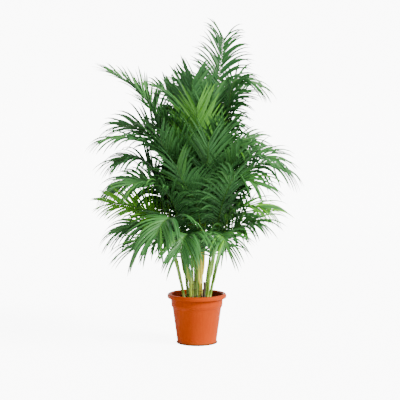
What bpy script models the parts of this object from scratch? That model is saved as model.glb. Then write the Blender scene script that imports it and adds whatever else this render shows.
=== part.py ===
"""Potted palm: a moulded nursery pot, its soil, a clump of canes and their arching fronds.

Metres, +Z up. The origin is the centre of the pot's underside, and -Y is the front.
Every cane is rooted in the soil, and every frond is seated on its cane, at its side or on its top.
"""

import math
from typing import NamedTuple

import bmesh
import bpy
from mathutils import Vector, noise
from mathutils.bvhtree import BVHTree

# Pot, outside sizes
RIM_RADIUS = 0.120
RIM_TOP_Z = 0.201
RIM_ROLL_RADIUS = 0.0075
RIM_SKIRT_Z = 0.1835
RIM_CURL_RADIUS = 0.004
COLLAR_FOOT_RADIUS = 0.1032
COLLAR_FOOT_Z = 0.149
BODY_TOP_RADIUS = 0.0992
BODY_TOP_Z = 0.1455
BODY_FOOT_RADIUS = 0.0800
BODY_FOOT_Z = 0.0065
FOOT_RADIUS = 0.0832
FOOT_HEIGHT = 0.0045
PAD_RADIUS = 0.040
CHANNEL_RADIUS = 0.072
CHANNEL_HEIGHT = 0.003
POT_WALL = 0.002
POT_STEPS = 40
ARC_STEPS = 4
DRAIN_HOLES = 6
DRAIN_HOLE_RADIUS = 0.005
DRAIN_CUTTER_SIDES = 12
DRAIN_CUTTER_HEIGHT = 0.012
POT_WELD = 0.00005

# Soil
FIT_GAP = 0.0004
SOIL_EDGE_Z = 0.160
SOIL_CROWN_Z = 0.166
SOIL_RINGS = 4
SOIL_LUMP = 0.0025
SOIL_LUMP_SIZE = 0.020

# Canes
CANE_FOOT_Z = 0.125
CANE_BASE_RADIUS = 0.0060
CANE_TOP_RADIUS = 0.0046
CANE_POINTS = 4
CANE_BEVEL_RESOLUTION = 1
MESH_WELD = 0.00002
SMOOTH_ANGLE = 40.0

# Fronds
SEAT_OFFSET = 0.0058
HOLD = 0.35
PETIOLE_HALF = 0.0032
RACHIS_TIP_HALF = 0.0012
PETIOLE_SHARE = 0.22
PETIOLE_SEGMENTS = 5
LEAFLET_PAIRS = 8
LEAFLET_BASE_SHARE = 0.012
LEAFLET_WIDTH = 0.017
LEAFLET_THICKNESS = 0.0014
LEAFLET_MIDDLE = 0.42
LEAFLET_SAG = 0.28
LEAFLET_LONGEST = 0.4
LEAFLET_TAPER = 1.15
BASE_SPREAD = 64.0
TIP_SPREAD = 26.0
FOOT_SIGNS = ((-1, 1), (1, 1), (1, -1), (-1, -1))
CLEARANCE = 0.0010
LENGTH_TRIES = (1.0, 0.85, 0.7, 0.5, 0.35)
LIFT_TRIES = (0, 10, -10, 20, -20, 32, -32, 45, -45)

# Plain colours, linear, and roughnesses
POT_COLOUR = (0.60, 0.16, 0.035)
POT_ROUGHNESS = 0.45
SOIL_COLOUR = (0.030, 0.019, 0.012)
SOIL_ROUGHNESS = 0.95
CANE_COLOUR = (0.27, 0.38, 0.09)
CANE_ROUGHNESS = 0.45
LEAF_COLOUR = (0.055, 0.19, 0.030)
LEAF_ROUGHNESS = 0.45


class Cane(NamedTuple):
    """One straight cane: the way it leans out, its distance from the axis at foot and top, its top.

    The one called stub is what is left of a cane that was cut back, and bears no frond.
    """

    azimuth: float
    foot_radius: float
    top_radius: float
    top_z: float


class Frond(NamedTuple):
    """One frond.

    It sits at its cane's side, turned by side degrees from the way the cane leans, or on the
    cane's top where side is 0. seat is how far up the cane that is. It keeps the cane's
    direction for about the length rise, and ends at tip with the slope pitch, in degrees. Its
    blade's upper side faces away from the azimuth face, turned about the centre line by roll
    degrees, its leaflets stand up from the flat by lift degrees, and the longest of them has
    the length leaf.
    """

    cane: str
    side: float
    seat: float
    tip: tuple
    rise: float
    pitch: float
    face: float
    lift: float
    roll: float
    leaf: float


CANES = {
    "right": Cane(2, 0.041, 0.080, 0.33),
    "back_right": Cane(45, 0.042, 0.070, 0.31),
    "back": Cane(90, 0.040, 0.064, 0.34),
    "back_left": Cane(135, 0.042, 0.072, 0.32),
    "left": Cane(185, 0.041, 0.082, 0.34),
    "front_left": Cane(241, 0.042, 0.066, 0.31),
    "front": Cane(289, 0.040, 0.055, 0.33),
    "front_right": Cane(326, 0.042, 0.068, 0.32),
    "heart_right": Cane(20, 0.016, 0.024, 0.42),
    "heart_back": Cane(110, 0.017, 0.026, 0.40),
    "heart_left": Cane(200, 0.016, 0.024, 0.43),
    "heart_front": Cane(300, 0.017, 0.024, 0.39),
    "stub": Cane(298, 0.062, 0.064, 0.255),
}

FRONDS = [
    # right side
    Frond("right", -70, 0.62, (0.250, -0.085, 0.500), 0.16, -10, -20, 18, 30, 0.195),
    Frond("right", 70, 0.80, (0.375, 0.010, 0.695), 0.42, -32, 0, 14, 22, 0.185),
    Frond("right", -20, 0.92, (0.325, -0.080, 0.745), 0.42, -15, -15, 20, 18, 0.185),
    Frond("right", 0, 1.00, (0.262, 0.020, 1.035), 0.60, -30, 0, 12, 35, 0.170),
    # back right
    Frond("back_right", 70, 0.62, (0.225, 0.235, 0.490), 0.22, -30, 45, 20, 0, 0.195),
    Frond("back_right", -70, 0.80, (0.300, 0.130, 0.780), 0.40, 0, 20, 22, 15, 0.180),
    Frond("back_right", -20, 0.92, (0.140, 0.300, 0.650), 0.34, -25, 65, 20, 0, 0.190),
    Frond("back_right", 0, 1.00, (0.240, 0.090, 0.830), 0.40, 5, 30, 24, 30, 0.165),
    # back
    Frond("back", 70, 0.62, (0.020, 0.335, 0.500), 0.22, -35, 90, 20, 0, 0.195),
    Frond("back", -70, 0.80, (0.100, 0.325, 0.800), 0.40, -15, 75, 25, 0, 0.190),
    Frond("back", 0, 1.00, (-0.050, 0.250, 1.060), 0.48, 5, 100, 30, 0, 0.180),
    # back left
    Frond("back_left", -70, 0.62, (-0.225, 0.235, 0.450), 0.20, -30, 135, 20, 0, 0.195),
    Frond("back_left", 70, 0.80, (-0.368, 0.095, 0.612), 0.40, -40, 165, 16, -30, 0.185),
    Frond("back_left", 20, 0.92, (-0.140, 0.300, 0.640), 0.34, -25, 115, 20, 0, 0.190),
    Frond("back_left", 0, 1.00, (-0.325, 0.105, 0.880), 0.42, 0, 165, 30, -30, 0.190),
    # left
    Frond("left", -70, 0.62, (-0.325, -0.010, 0.450), 0.25, -32, 180, 20, -25, 0.190),
    Frond("left", 90, 0.80, (-0.350, -0.070, 0.572), 0.24, 5, 190, 15, -42, 0.150),
    Frond("left", 20, 0.92, (-0.325, -0.080, 0.740), 0.38, -18, 195, 20, -15, 0.190),
    Frond("left", 0, 1.00, (-0.335, 0.000, 1.085), 0.46, 26, 180, 30, -12, 0.185),
    # front left
    Frond("front_left", 70, 0.62, (-0.235, -0.240, 0.410), 0.20, -42, 222, 15, 0, 0.215),
    Frond("front_left", -70, 0.80, (-0.260, -0.190, 0.650), 0.34, -15, 215, 25, -20, 0.195),
    Frond("front_left", -20, 0.92, (-0.150, -0.280, 0.460), 0.28, -62, 244, 18, 0, 0.215),
    Frond("front_left", 0, 1.00, (-0.360, -0.125, 0.825), 0.42, -12, 200, 20, -12, 0.185),
    # front
    Frond("front", -70, 0.62, (-0.060, -0.300, 0.410), 0.22, -68, 262, 15, 0, 0.220),
    Frond("front", 70, 0.80, (0.045, -0.205, 0.815), 0.38, 68, 278, 26, 0, 0.195),
    Frond("front", -20, 0.92, (-0.075, -0.225, 0.725), 0.34, 62, 250, 22, 0, 0.195),
    Frond("front", 0, 1.00, (0.000, -0.170, 0.945), 0.36, 70, 270, 35, 0, 0.200),
    # front right
    Frond("front_right", -70, 0.62, (0.110, -0.285, 0.420), 0.20, -62, 290, 15, 0, 0.185),
    Frond("front_right", 70, 0.80, (0.285, -0.130, 0.550), 0.28, -18, 335, 22, 18, 0.180),
    Frond("front_right", -20, 0.92, (0.145, -0.215, 0.700), 0.34, 55, 302, 22, 0, 0.195),
    Frond("front_right", 0, 1.00, (0.240, -0.170, 0.650), 0.34, -30, 325, 25, 20, 0.195),
    # heart of the clump
    Frond("heart_right", 70, 0.75, (0.205, 0.130, 1.035), 0.48, 20, 40, 30, 20, 0.190),
    Frond("heart_right", -70, 0.90, (0.180, -0.120, 0.800), 0.36, 5, 330, 26, 20, 0.185),
    Frond("heart_right", 0, 1.00, (0.108, 0.045, 1.235), 0.40, 84, 90, 16, 0, 0.185),
    Frond("heart_back", 70, 0.75, (-0.175, 0.130, 1.050), 0.48, 20, 150, 32, -20, 0.185),
    Frond("heart_back", -70, 0.90, (0.055, 0.220, 0.960), 0.42, 15, 80, 30, 0, 0.185),
    Frond("heart_back", 0, 1.00, (-0.010, 0.150, 1.090), 0.40, 60, 95, 30, 0, 0.175),
    Frond("heart_left", 70, 0.75, (-0.200, -0.100, 0.960), 0.42, 40, 205, 30, -10, 0.190),
    Frond("heart_left", -70, 0.90, (-0.190, 0.050, 0.880), 0.38, 20, 170, 30, -20, 0.190),
    Frond("heart_left", 0, 1.00, (-0.018, -0.020, 1.060), 0.36, 80, 265, 30, 0, 0.200),
    Frond("heart_front", 60, 0.60, (0.110, -0.170, 0.870), 0.38, 45, 300, 30, 0, 0.190),
    Frond("heart_front", 0, 1.00, (0.065, -0.070, 1.000), 0.40, 60, 310, 30, 0, 0.185),
    Frond("heart_front", -70, 0.80, (-0.090, -0.200, 0.830), 0.34, 35, 245, 30, 0, 0.190),
    Frond("heart_front", 180, 0.92, (-0.140, -0.195, 0.830), 0.40, 60, 235, 26, 0, 0.190),
    Frond("heart_right", -130, 0.60, (0.165, -0.190, 0.780), 0.34, 50, 308, 24, 0, 0.190),
]


def polar(azimuth, radius, z):
    """The point at that azimuth, in degrees, and that distance from the vertical axis."""
    turn = math.radians(azimuth)
    return Vector((radius * math.cos(turn), radius * math.sin(turn), z))


def link(obj, collection):
    """Puts a new object in a collection and returns it."""
    collection.objects.link(obj)
    return obj


def new_collection(name):
    """A new collection of the scene."""
    collection = bpy.data.collections.new(name)
    bpy.context.scene.collection.children.link(collection)
    return collection


def material(name, colour, roughness):
    """A plain Principled material."""
    made = bpy.data.materials.new(name)
    made.use_nodes = True
    shader = made.node_tree.nodes["Principled BSDF"]
    shader.inputs["Base Color"].default_value = (*colour, 1.0)
    shader.inputs["Roughness"].default_value = roughness
    shader.inputs["Metallic"].default_value = 0.0
    return made


def shade_round(obj):
    """Smooth shading that keeps the sharp edges."""
    obj.data.shade_smooth()
    obj.data.set_sharp_from_angle(angle=math.radians(SMOOTH_ANGLE))


def arc(centre_x, centre_z, radius, start, end):
    """Profile points along an arc in the XZ plane, from one angle to another, in degrees."""
    turns = [math.radians(start + (end - start) * i / ARC_STEPS) for i in range(ARC_STEPS + 1)]
    return [(centre_x + radius * math.cos(t), centre_z + radius * math.sin(t)) for t in turns]


def turned(name, profile):
    """A mesh object whose profile, in the XZ plane, is turned round the Z axis."""
    mesh = bpy.data.meshes.new(name)
    bm = bmesh.new()
    corners = [bm.verts.new((x, 0.0, z)) for x, z in profile]
    for first, second in zip(corners, corners[1:]):
        bm.edges.new((first, second))
    bm.to_mesh(mesh)
    bm.free()
    obj = bpy.data.objects.new(name, mesh)
    screw = obj.modifiers.new("Turn", "SCREW")
    screw.steps = POT_STEPS
    screw.render_steps = POT_STEPS
    screw.use_merge_vertices = True
    screw.merge_threshold = POT_WELD
    return obj


def frozen(obj):
    """A mesh object in place of obj, with its modifiers or its curve's tube made real."""
    name = obj.name
    graph = bpy.context.evaluated_depsgraph_get()
    mesh = bpy.data.meshes.new_from_object(obj.evaluated_get(graph))
    bm = bmesh.new()
    bm.from_mesh(mesh)
    bmesh.ops.remove_doubles(bm, verts=bm.verts, dist=MESH_WELD)
    bm.to_mesh(mesh)
    bm.free()
    bpy.data.objects.remove(obj, do_unlink=True)
    return bpy.data.objects.new(name, mesh)


def as_cutter(obj, name, cutters):
    """Names a cutter, moves it to the cutters' collection and hides it from renders."""
    obj.name = name
    for collection in list(obj.users_collection):
        collection.objects.unlink(obj)
    obj.hide_render = True
    obj.display_type = "WIRE"
    return link(obj, cutters)


def subtract(obj, cutters):
    """Cuts each cutter out of obj."""
    for cutter in cutters:
        cut = obj.modifiers.new(cutter.name, "BOOLEAN")
        cut.operation = "DIFFERENCE"
        cut.solver = "EXACT"
        cut.object = cutter


def wall_inside(gap):
    """Profile points up the pot's inside, from the middle of its floor to its collar, less a gap."""
    floor = POT_WALL + gap
    inward = POT_WALL + gap
    return [
        (0.0, floor),
        (PAD_RADIUS, floor),
        (PAD_RADIUS + CHANNEL_HEIGHT, floor + CHANNEL_HEIGHT),
        (CHANNEL_RADIUS - CHANNEL_HEIGHT, floor + CHANNEL_HEIGHT),
        (CHANNEL_RADIUS, floor),
        (FOOT_RADIUS - inward, floor),
        (FOOT_RADIUS - inward, FOOT_HEIGHT),
        (BODY_FOOT_RADIUS - inward, BODY_FOOT_Z),
        (BODY_TOP_RADIUS - inward, BODY_TOP_Z),
        (COLLAR_FOOT_RADIUS - inward, COLLAR_FOOT_Z),
    ]


def pot_profile():
    """Up the pot's inside, over its rolled rim and down the skirt to the end of the curl."""
    roll_x = RIM_RADIUS - RIM_ROLL_RADIUS
    roll_z = RIM_TOP_Z - RIM_ROLL_RADIUS
    curl_x = RIM_RADIUS - RIM_CURL_RADIUS
    return [
        *wall_inside(0.0),
        *arc(roll_x, roll_z, RIM_ROLL_RADIUS, 180, 0),
        *arc(curl_x, RIM_SKIRT_Z + RIM_CURL_RADIUS, RIM_CURL_RADIUS, 0, -90),
    ]


def make_pot(parts, cutters):
    """The pot: one thin moulded wall with a rolled rim, a collar, a foot ring and drain holes."""
    pot = link(turned("pot", pot_profile()), parts)
    wall = pot.modifiers.new("Wall", "SOLIDIFY")
    wall.thickness = POT_WALL
    wall.offset = -1.0
    wall.use_even_offset = True
    for i in range(DRAIN_HOLES):
        bpy.ops.mesh.primitive_cylinder_add(
            vertices=DRAIN_CUTTER_SIDES,
            radius=DRAIN_HOLE_RADIUS,
            depth=DRAIN_CUTTER_HEIGHT,
            location=polar(360 * (i + 0.5) / DRAIN_HOLES, (PAD_RADIUS + CHANNEL_RADIUS) / 2, 0.0),
        )
        subtract(pot, [as_cutter(bpy.context.object, f"drain_cutter_{i + 1}", cutters)])
    pot.data.materials.append(material("terracotta plastic", POT_COLOUR, POT_ROUGHNESS))


def make_soil(parts, cutters):
    """The soil: it fills the pot to its collar, with a lumpy top and a socket round each cane."""
    edge_radius = COLLAR_FOOT_RADIUS - POT_WALL - FIT_GAP
    top = [
        (edge_radius * i / SOIL_RINGS, SOIL_CROWN_Z + (SOIL_EDGE_Z - SOIL_CROWN_Z) * i / SOIL_RINGS)
        for i in range(SOIL_RINGS + 1)
    ]
    soil = link(turned("soil", [*top, *reversed(wall_inside(FIT_GAP))]), parts)
    soil = link(frozen(soil), parts)
    for corner in soil.data.vertices:
        if corner.co.z > SOIL_EDGE_Z:
            corner.co.z += SOIL_LUMP * noise.noise(corner.co / SOIL_LUMP_SIZE)
    sockets = [cane_tube(f"socket_{name}", cane, FIT_GAP, cutters) for name, cane in CANES.items()]
    subtract(soil, [as_cutter(socket, socket.name, cutters) for socket in sockets])
    soil.data.materials.append(material("potting soil", SOIL_COLOUR, SOIL_ROUGHNESS))


def cane_axis(cane):
    """The cane's foot and top."""
    foot = polar(cane.azimuth, cane.foot_radius, CANE_FOOT_Z)
    top = polar(cane.azimuth, cane.top_radius, cane.top_z)
    return foot, top


def cane_tube(name, cane, extra, collection):
    """A cane as one closed tapered tube, larger all round by extra."""
    foot, top = cane_axis(cane)
    along = (top - foot).normalized()
    curve = bpy.data.curves.new(name, "CURVE")
    curve.dimensions = "3D"
    curve.bevel_depth = 1.0
    curve.bevel_resolution = CANE_BEVEL_RESOLUTION
    curve.use_fill_caps = True
    spline = curve.splines.new("POLY")
    spline.points.add(CANE_POINTS - 1)
    for i, point in enumerate(spline.points):
        share = i / (CANE_POINTS - 1)
        point.co = (*foot.lerp(top, share), 1.0)
        point.radius = CANE_BASE_RADIUS + (CANE_TOP_RADIUS - CANE_BASE_RADIUS) * share + extra
    spline.points[0].co = (*(foot - along * extra), 1.0)
    return link(frozen(link(bpy.data.objects.new(name, curve), collection)), collection)


def make_canes(parts):
    """One cane for each row of CANES."""
    stem = material("cane", CANE_COLOUR, CANE_ROUGHNESS)
    for name, cane in CANES.items():
        tube = cane_tube(f"cane_{name}", cane, 0.0, parts)
        shade_round(tube)
        tube.data.materials.append(stem)


def spine(frond):
    """The frond's centre line from its seat to its tip: the four control points of a cubic."""
    cane = CANES[frond.cane]
    foot, top = cane_axis(cane)
    along = (top - foot).normalized()
    if frond.side:
        cane_radius = CANE_BASE_RADIUS + (CANE_TOP_RADIUS - CANE_BASE_RADIUS) * frond.seat
        out = polar(cane.azimuth + frond.side, 1.0, 0.0)
        out = (out - along * out.dot(along)).normalized()
        seat = foot.lerp(top, frond.seat) + out * (cane_radius + SEAT_OFFSET)
    else:
        seat = top + along * FIT_GAP
    tip = Vector(frond.tip)
    run = Vector((tip.x - seat.x, tip.y - seat.y, 0.0)).normalized()
    pitch = math.radians(frond.pitch)
    end = run * math.cos(pitch) + Vector((0.0, 0.0, math.sin(pitch)))
    hold = HOLD * (tip - seat).length
    return seat, seat + along * frond.rise, tip - end * hold, tip


def spine_point(controls, t):
    """The point of the cubic at t and its direction there."""
    p0, p1, p2, p3 = controls
    s = 1.0 - t
    point = p0 * s**3 + p1 * (3 * s * s * t) + p2 * (3 * s * t * t) + p3 * t**3
    slope = (p1 - p0) * (s * s) + (p2 - p1) * (2 * s * t) + (p3 - p2) * (t * t)
    return point, slope.normalized()


def blade_frame(frond, direction):
    """The blade's sideways direction and the direction that its upper side faces."""
    side = polar(frond.face + 90.0, 1.0, 0.0)
    side = (side - direction * side.dot(direction)).normalized()
    roll = math.radians(frond.roll)
    side = side * math.cos(roll) + direction.cross(side) * math.sin(roll)
    return side, direction.cross(side)


def stations():
    """Shares of the spine where the tube has a ring, and which of its stretches bear leaflets."""
    shares = [PETIOLE_SHARE * i / PETIOLE_SEGMENTS for i in range(PETIOLE_SEGMENTS)]
    step = (1.0 - PETIOLE_SHARE) / LEAFLET_PAIRS
    bearing = []
    for i in range(LEAFLET_PAIRS):
        start = PETIOLE_SHARE + step * (i + 1) - LEAFLET_BASE_SHARE
        bearing.append(len(shares) + 1)
        shares += [PETIOLE_SHARE + step * i, start]
    return [*shares, 1.0], bearing


def tube_ring(frond, controls, t):
    """The four corners of the petiole or rachis at t."""
    point, direction = spine_point(controls, t)
    side, up = blade_frame(frond, direction)
    half = PETIOLE_HALF + (RACHIS_TIP_HALF - PETIOLE_HALF) * t
    return [point + side * a * half + up * b * half for a, b in ((1, 1), (-1, 1), (-1, -1), (1, -1))]


def tube_body(rings):
    """The vertices and faces of a tube of four-cornered rings."""
    faces = []
    for i in range(len(rings) - 1):
        first = 4 * i
        for a in range(4):
            b = (a + 1) % 4
            faces.append((first + a, first + b, first + 4 + b, first + 4 + a))
    return BVHTree.FromPolygons([corner for ring in rings for corner in ring], faces)


def leaflet_shape(frond, controls, ends, hand, lift, length, margin):
    """The leaflet's foot, its four middle corners in the foot's order, and its tip.

    ends are the shares of the spine where its foot starts and ends, and hand is 1 or -1, for
    the blade's two sides. Everything is larger all round by margin.
    """
    start, end = ends
    blade_share = (end - PETIOLE_SHARE) / (1.0 - PETIOLE_SHARE)
    point, direction = spine_point(controls, (start + end) / 2)
    side, up = blade_frame(frond, direction)
    spread = math.radians(BASE_SPREAD + (TIP_SPREAD - BASE_SPREAD) * blade_share)
    turn = math.radians(lift)
    across = side * (hand * math.cos(turn)) + up * math.sin(turn)
    out = direction * math.cos(spread) + across * math.sin(spread)
    width = (direction - out * direction.dot(out)).normalized()
    thick = width.cross(out) * (1.0 if width.cross(out).dot(up) > 0 else -1.0)
    droop = Vector((0.0, 0.0, -LEAFLET_SAG * length))
    centre = point + out * (length * LEAFLET_MIDDLE) + droop * LEAFLET_MIDDLE**2
    half_width = LEAFLET_WIDTH / 2 + margin
    half_thick = LEAFLET_THICKNESS / 2 + margin
    middle = [centre + width * a * half_width + thick * b * half_thick for a, b in FOOT_SIGNS]
    return middle, point + out * (length + margin) + droop


def leaflet_body(foot, middle, tip):
    """A leaflet's foot, middle and tip as a tree for overlap tests."""
    faces = [(i, (i + 1) % 4, 4 + (i + 1) % 4, 4 + i) for i in range(4)]
    faces += [(4 + i, 4 + (i + 1) % 4, 8) for i in range(4)]
    return BVHTree.FromPolygons([*foot, *middle, tip], faces)


def mesh_tree(obj):
    """An object's mesh as a tree for overlap tests."""
    corners = [corner.co for corner in obj.data.vertices]
    return BVHTree.FromPolygons(corners, [tuple(face.vertices) for face in obj.data.polygons])


def grow_tube(bm, rings):
    """Extrudes a face along the rings, caps the first one and returns each ring's vertices."""
    grown = [[bm.verts.new(corner) for corner in rings[0]]]
    face = bm.faces.new(grown[0])
    for ring in rings[1:]:
        face = bmesh.ops.extrude_discrete_faces(bm, faces=[face])["faces"][0]
        for corner, place in zip(face.verts, ring):
            corner.co = place
        grown.append(list(face.verts))
    bm.faces.new(reversed(grown[0]))
    return grown


def grow_leaflet(bm, foot, middle, tip):
    """Extrudes the tube's face between the foot's corners out to the middle and draws in a tip."""
    face = bm.faces.get(foot)
    places = dict(zip(foot, middle))
    order = [places[corner] for corner in face.verts]
    outer = bmesh.ops.extrude_discrete_faces(bm, faces=[face])["faces"][0]
    for corner, place in zip(outer.verts, order):
        corner.co = place
    end = bmesh.ops.extrude_discrete_faces(bm, faces=[outer])["faces"][0]
    bmesh.ops.pointmerge(bm, verts=list(end.verts), merge_co=tip)


def foot_corners(rings, start, hand):
    """The four corners of the tube's side where a leaflet grows, in the order of FOOT_SIGNS."""
    upper, lower = (0, 3) if hand > 0 else (1, 2)
    return [rings[start][upper], rings[start + 1][upper], rings[start + 1][lower], rings[start][lower]]


def clear_leaflet(frond, controls, ends, hand, foot, obstacles):
    """The first leaflet shape tried that touches no obstacle, with its tree, or None."""
    blade_share = (ends[1] - PETIOLE_SHARE) / (1.0 - PETIOLE_SHARE)
    full = frond.leaf * (1.0 - LEAFLET_TAPER * (blade_share - LEAFLET_LONGEST) ** 2)
    for scale in LENGTH_TRIES:
        for turn in LIFT_TRIES:
            lift = frond.lift + turn
            tried = leaflet_shape(frond, controls, ends, hand, lift, full * scale, CLEARANCE)
            body = leaflet_body(foot, *tried)
            if not any(body.overlap(other) for other in obstacles):
                shape = leaflet_shape(frond, controls, ends, hand, lift, full * scale, 0.0)
                return shape, body
    return None


def make_fronds(parts):
    """One closed body for each row of FRONDS: its petiole, its rachis and its leaflets."""
    leaf = material("leaf", LEAF_COLOUR, LEAF_ROUGHNESS)
    shares, bearing = stations()
    controls = [spine(frond) for frond in FRONDS]
    rings = [[tube_ring(frond, line, t) for t in shares] for frond, line in zip(FRONDS, controls)]
    tubes = [tube_body(frond_rings) for frond_rings in rings]
    canes = [mesh_tree(obj) for obj in parts.objects if obj.name.startswith("cane_")]
    leaflets = []
    for number, frond in enumerate(FRONDS):
        others = [*canes, *tubes[:number], *tubes[number + 1 :]]
        bm = bmesh.new()
        grown = grow_tube(bm, rings[number])
        for start in bearing:
            ends = (shares[start], shares[start + 1])
            for hand in (1, -1):
                foot = foot_corners(rings[number], start, hand)
                found = clear_leaflet(frond, controls[number], ends, hand, foot, [*others, *leaflets])
                if found:
                    shape, body = found
                    grow_leaflet(bm, foot_corners(grown, start, hand), *shape)
                    leaflets.append(body)
        bmesh.ops.recalc_face_normals(bm, faces=bm.faces)
        mesh = bpy.data.meshes.new(frond_name(number))
        bm.to_mesh(mesh)
        bm.free()
        obj = link(bpy.data.objects.new(frond_name(number), mesh), parts)
        obj.data.materials.append(leaf)


def frond_name(number):
    """A frond's name: its cane's name and its place on it, counted from the lowest."""
    cane = FRONDS[number].cane
    place = sum(frond.cane == cane for frond in FRONDS[: number + 1])
    return f"frond_{cane}_{place}"


def main():
    """Builds the whole plant."""
    for obj in list(bpy.data.objects):
        bpy.data.objects.remove(obj, do_unlink=True)
    parts = new_collection("potted palm")
    cutters = new_collection("cutters")
    make_pot(parts, cutters)
    make_soil(parts, cutters)
    make_canes(parts)
    make_fronds(parts)


if __name__ == "__main__":
    main()
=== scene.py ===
"""Looks of a potted feather palm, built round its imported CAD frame.

A round nursery pot of orange plastic holds soil and a clump of ringed canes. Each cane carries
arching fronds: a clasping sheath, a petiole, a rachis and two rows of narrow folded leaflets.
Metres, +Z up. The origin is the centre of the pot's underside, and -Y is the front.
"""
import logging
import math
import random
from dataclasses import dataclass, field
from enum import Enum
from typing import Iterator, NamedTuple, Sequence

import bmesh
import bpy
from mathutils import Matrix, Vector, noise


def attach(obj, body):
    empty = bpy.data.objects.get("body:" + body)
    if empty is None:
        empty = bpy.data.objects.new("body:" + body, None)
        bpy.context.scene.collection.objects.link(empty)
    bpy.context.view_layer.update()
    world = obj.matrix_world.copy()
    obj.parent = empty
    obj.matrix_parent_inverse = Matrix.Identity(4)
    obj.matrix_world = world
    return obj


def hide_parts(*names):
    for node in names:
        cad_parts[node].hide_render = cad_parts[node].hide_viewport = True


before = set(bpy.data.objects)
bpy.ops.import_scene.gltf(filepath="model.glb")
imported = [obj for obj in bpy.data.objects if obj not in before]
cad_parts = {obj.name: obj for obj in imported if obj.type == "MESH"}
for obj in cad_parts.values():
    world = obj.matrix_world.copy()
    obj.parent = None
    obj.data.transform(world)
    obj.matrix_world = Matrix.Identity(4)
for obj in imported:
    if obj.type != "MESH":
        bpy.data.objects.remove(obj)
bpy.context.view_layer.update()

LOG = logging.getLogger("potted_palm")
BODY = "root"
UP = Vector((0.0, 0.0, 1.0))
DOWN = -UP
WELD = 0.00002
Colour = tuple[float, float, float]
WHITE: Colour = (1.0, 1.0, 1.0)


class Slot(Enum):
    """The record's material slots."""

    POT = "pot"
    SOIL = "soil"
    CANE = "cane"
    LEAF = "leaf"


# ---------------------------------------------------------------------------------------------
# Geometry helpers
# ---------------------------------------------------------------------------------------------


def polar(azimuth: float, radius: float, z: float) -> Vector:
    """Finds a point from its azimuth and its distance from the pot's axis.

    Args:
        azimuth: Degrees from +X, turning towards +Y.
        radius: Distance from the axis.
        z: Height.

    Returns:
        The point.
    """
    turn = math.radians(azimuth)
    return Vector((radius * math.cos(turn), radius * math.sin(turn), z))


def across(vector: Vector, direction: Vector) -> Vector:
    """Takes out of a vector what lies along a unit direction, and gives the rest length 1.

    Args:
        vector: The vector.
        direction: The unit direction.

    Returns:
        The unit vector at right angles to the direction.
    """
    return (vector - direction * vector.dot(direction)).normalized()


def blend_values(start: float, end: float, share: float) -> float:
    """Goes from start to end as share goes from 0 to 1."""
    return start + (end - start) * share


def smooth_step(low: float, high: float, value: float) -> float:
    """Rises smoothly from 0 at low to 1 at high."""
    share = min(1.0, max(0.0, (value - low) / (high - low)))
    return share * share * (3.0 - 2.0 * share)


def arc_points(
    centre: tuple[float, float], radius: float, start: float, end: float, steps: int
) -> list[tuple[float, float]]:
    """Lists profile points along an arc.

    Args:
        centre: The arc's centre as distance from the axis and height.
        radius: The arc's radius.
        start: Its first angle in degrees, from straight outwards.
        end: Its last angle in degrees.
        steps: How many chords it has.

    Returns:
        The points, as distance from the axis and height.
    """
    points = []
    for i in range(steps + 1):
        turn = math.radians(blend_values(start, end, i / steps))
        points.append((centre[0] + radius * math.cos(turn), centre[1] + radius * math.sin(turn)))
    return points


def finished(
    name: str, bm: bmesh.types.BMesh, materials: Sequence, sharp_angle: float
) -> bpy.types.Object:
    """Turns a bmesh into a shaded object in the scene.

    Args:
        name: The object's name.
        bm: The mesh, which is freed.
        materials: The materials, in the order of its faces' indices.
        sharp_angle: Edges that bend more than this, in degrees, stay sharp.

    Returns:
        The object, at the origin.
    """
    mesh = bpy.data.meshes.new(name)
    bm.to_mesh(mesh)
    bm.free()
    mesh.shade_smooth()
    mesh.set_sharp_from_angle(angle=math.radians(sharp_angle))
    for material in materials:
        mesh.materials.append(material)
    obj = bpy.data.objects.new(name, mesh)
    bpy.context.scene.collection.objects.link(obj)
    return obj


def deliver(piece: bpy.types.Object, slot: Slot, nodes: Sequence[str] = ()) -> None:
    """Hands a finished piece to the frame: attaches it to its body and hides the CAD nodes it stands for.

    Args:
        piece: The piece.
        slot: The record's slot meant for its finish; not used.
        nodes: The CAD nodes that it replaces.
    """
    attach(piece, BODY)
    if nodes:
        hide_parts(*nodes)
    LOG.info("%s: %d faces, for %s", piece.name, len(piece.data.polygons), ", ".join(nodes) or "itself")


def spun(bm: bmesh.types.BMesh, profile: Sequence[tuple[float, float]], steps: int) -> None:
    """Spins a profile round the Z axis into a closed skin with its faces outwards.

    Args:
        bm: The mesh that receives it.
        profile: Points as distance from the axis and height, with both ends on the axis.
        steps: How many steps the full turn has.
    """
    corners = [bm.verts.new((x, 0.0, z)) for x, z in profile]
    edges = [bm.edges.new(pair) for pair in zip(corners, corners[1:])]
    bmesh.ops.spin(
        bm,
        geom=[*corners, *edges],
        cent=(0.0, 0.0, 0.0),
        axis=(0.0, 0.0, 1.0),
        angle=2.0 * math.pi,
        steps=steps,
        use_merge=True,
    )
    bmesh.ops.remove_doubles(bm, verts=bm.verts, dist=WELD)
    bmesh.ops.recalc_face_normals(bm, faces=bm.faces)


class Section(NamedTuple):
    """One ring of a tube: its corners, and the blade attribute that they carry."""

    corners: list
    blade: tuple


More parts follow.
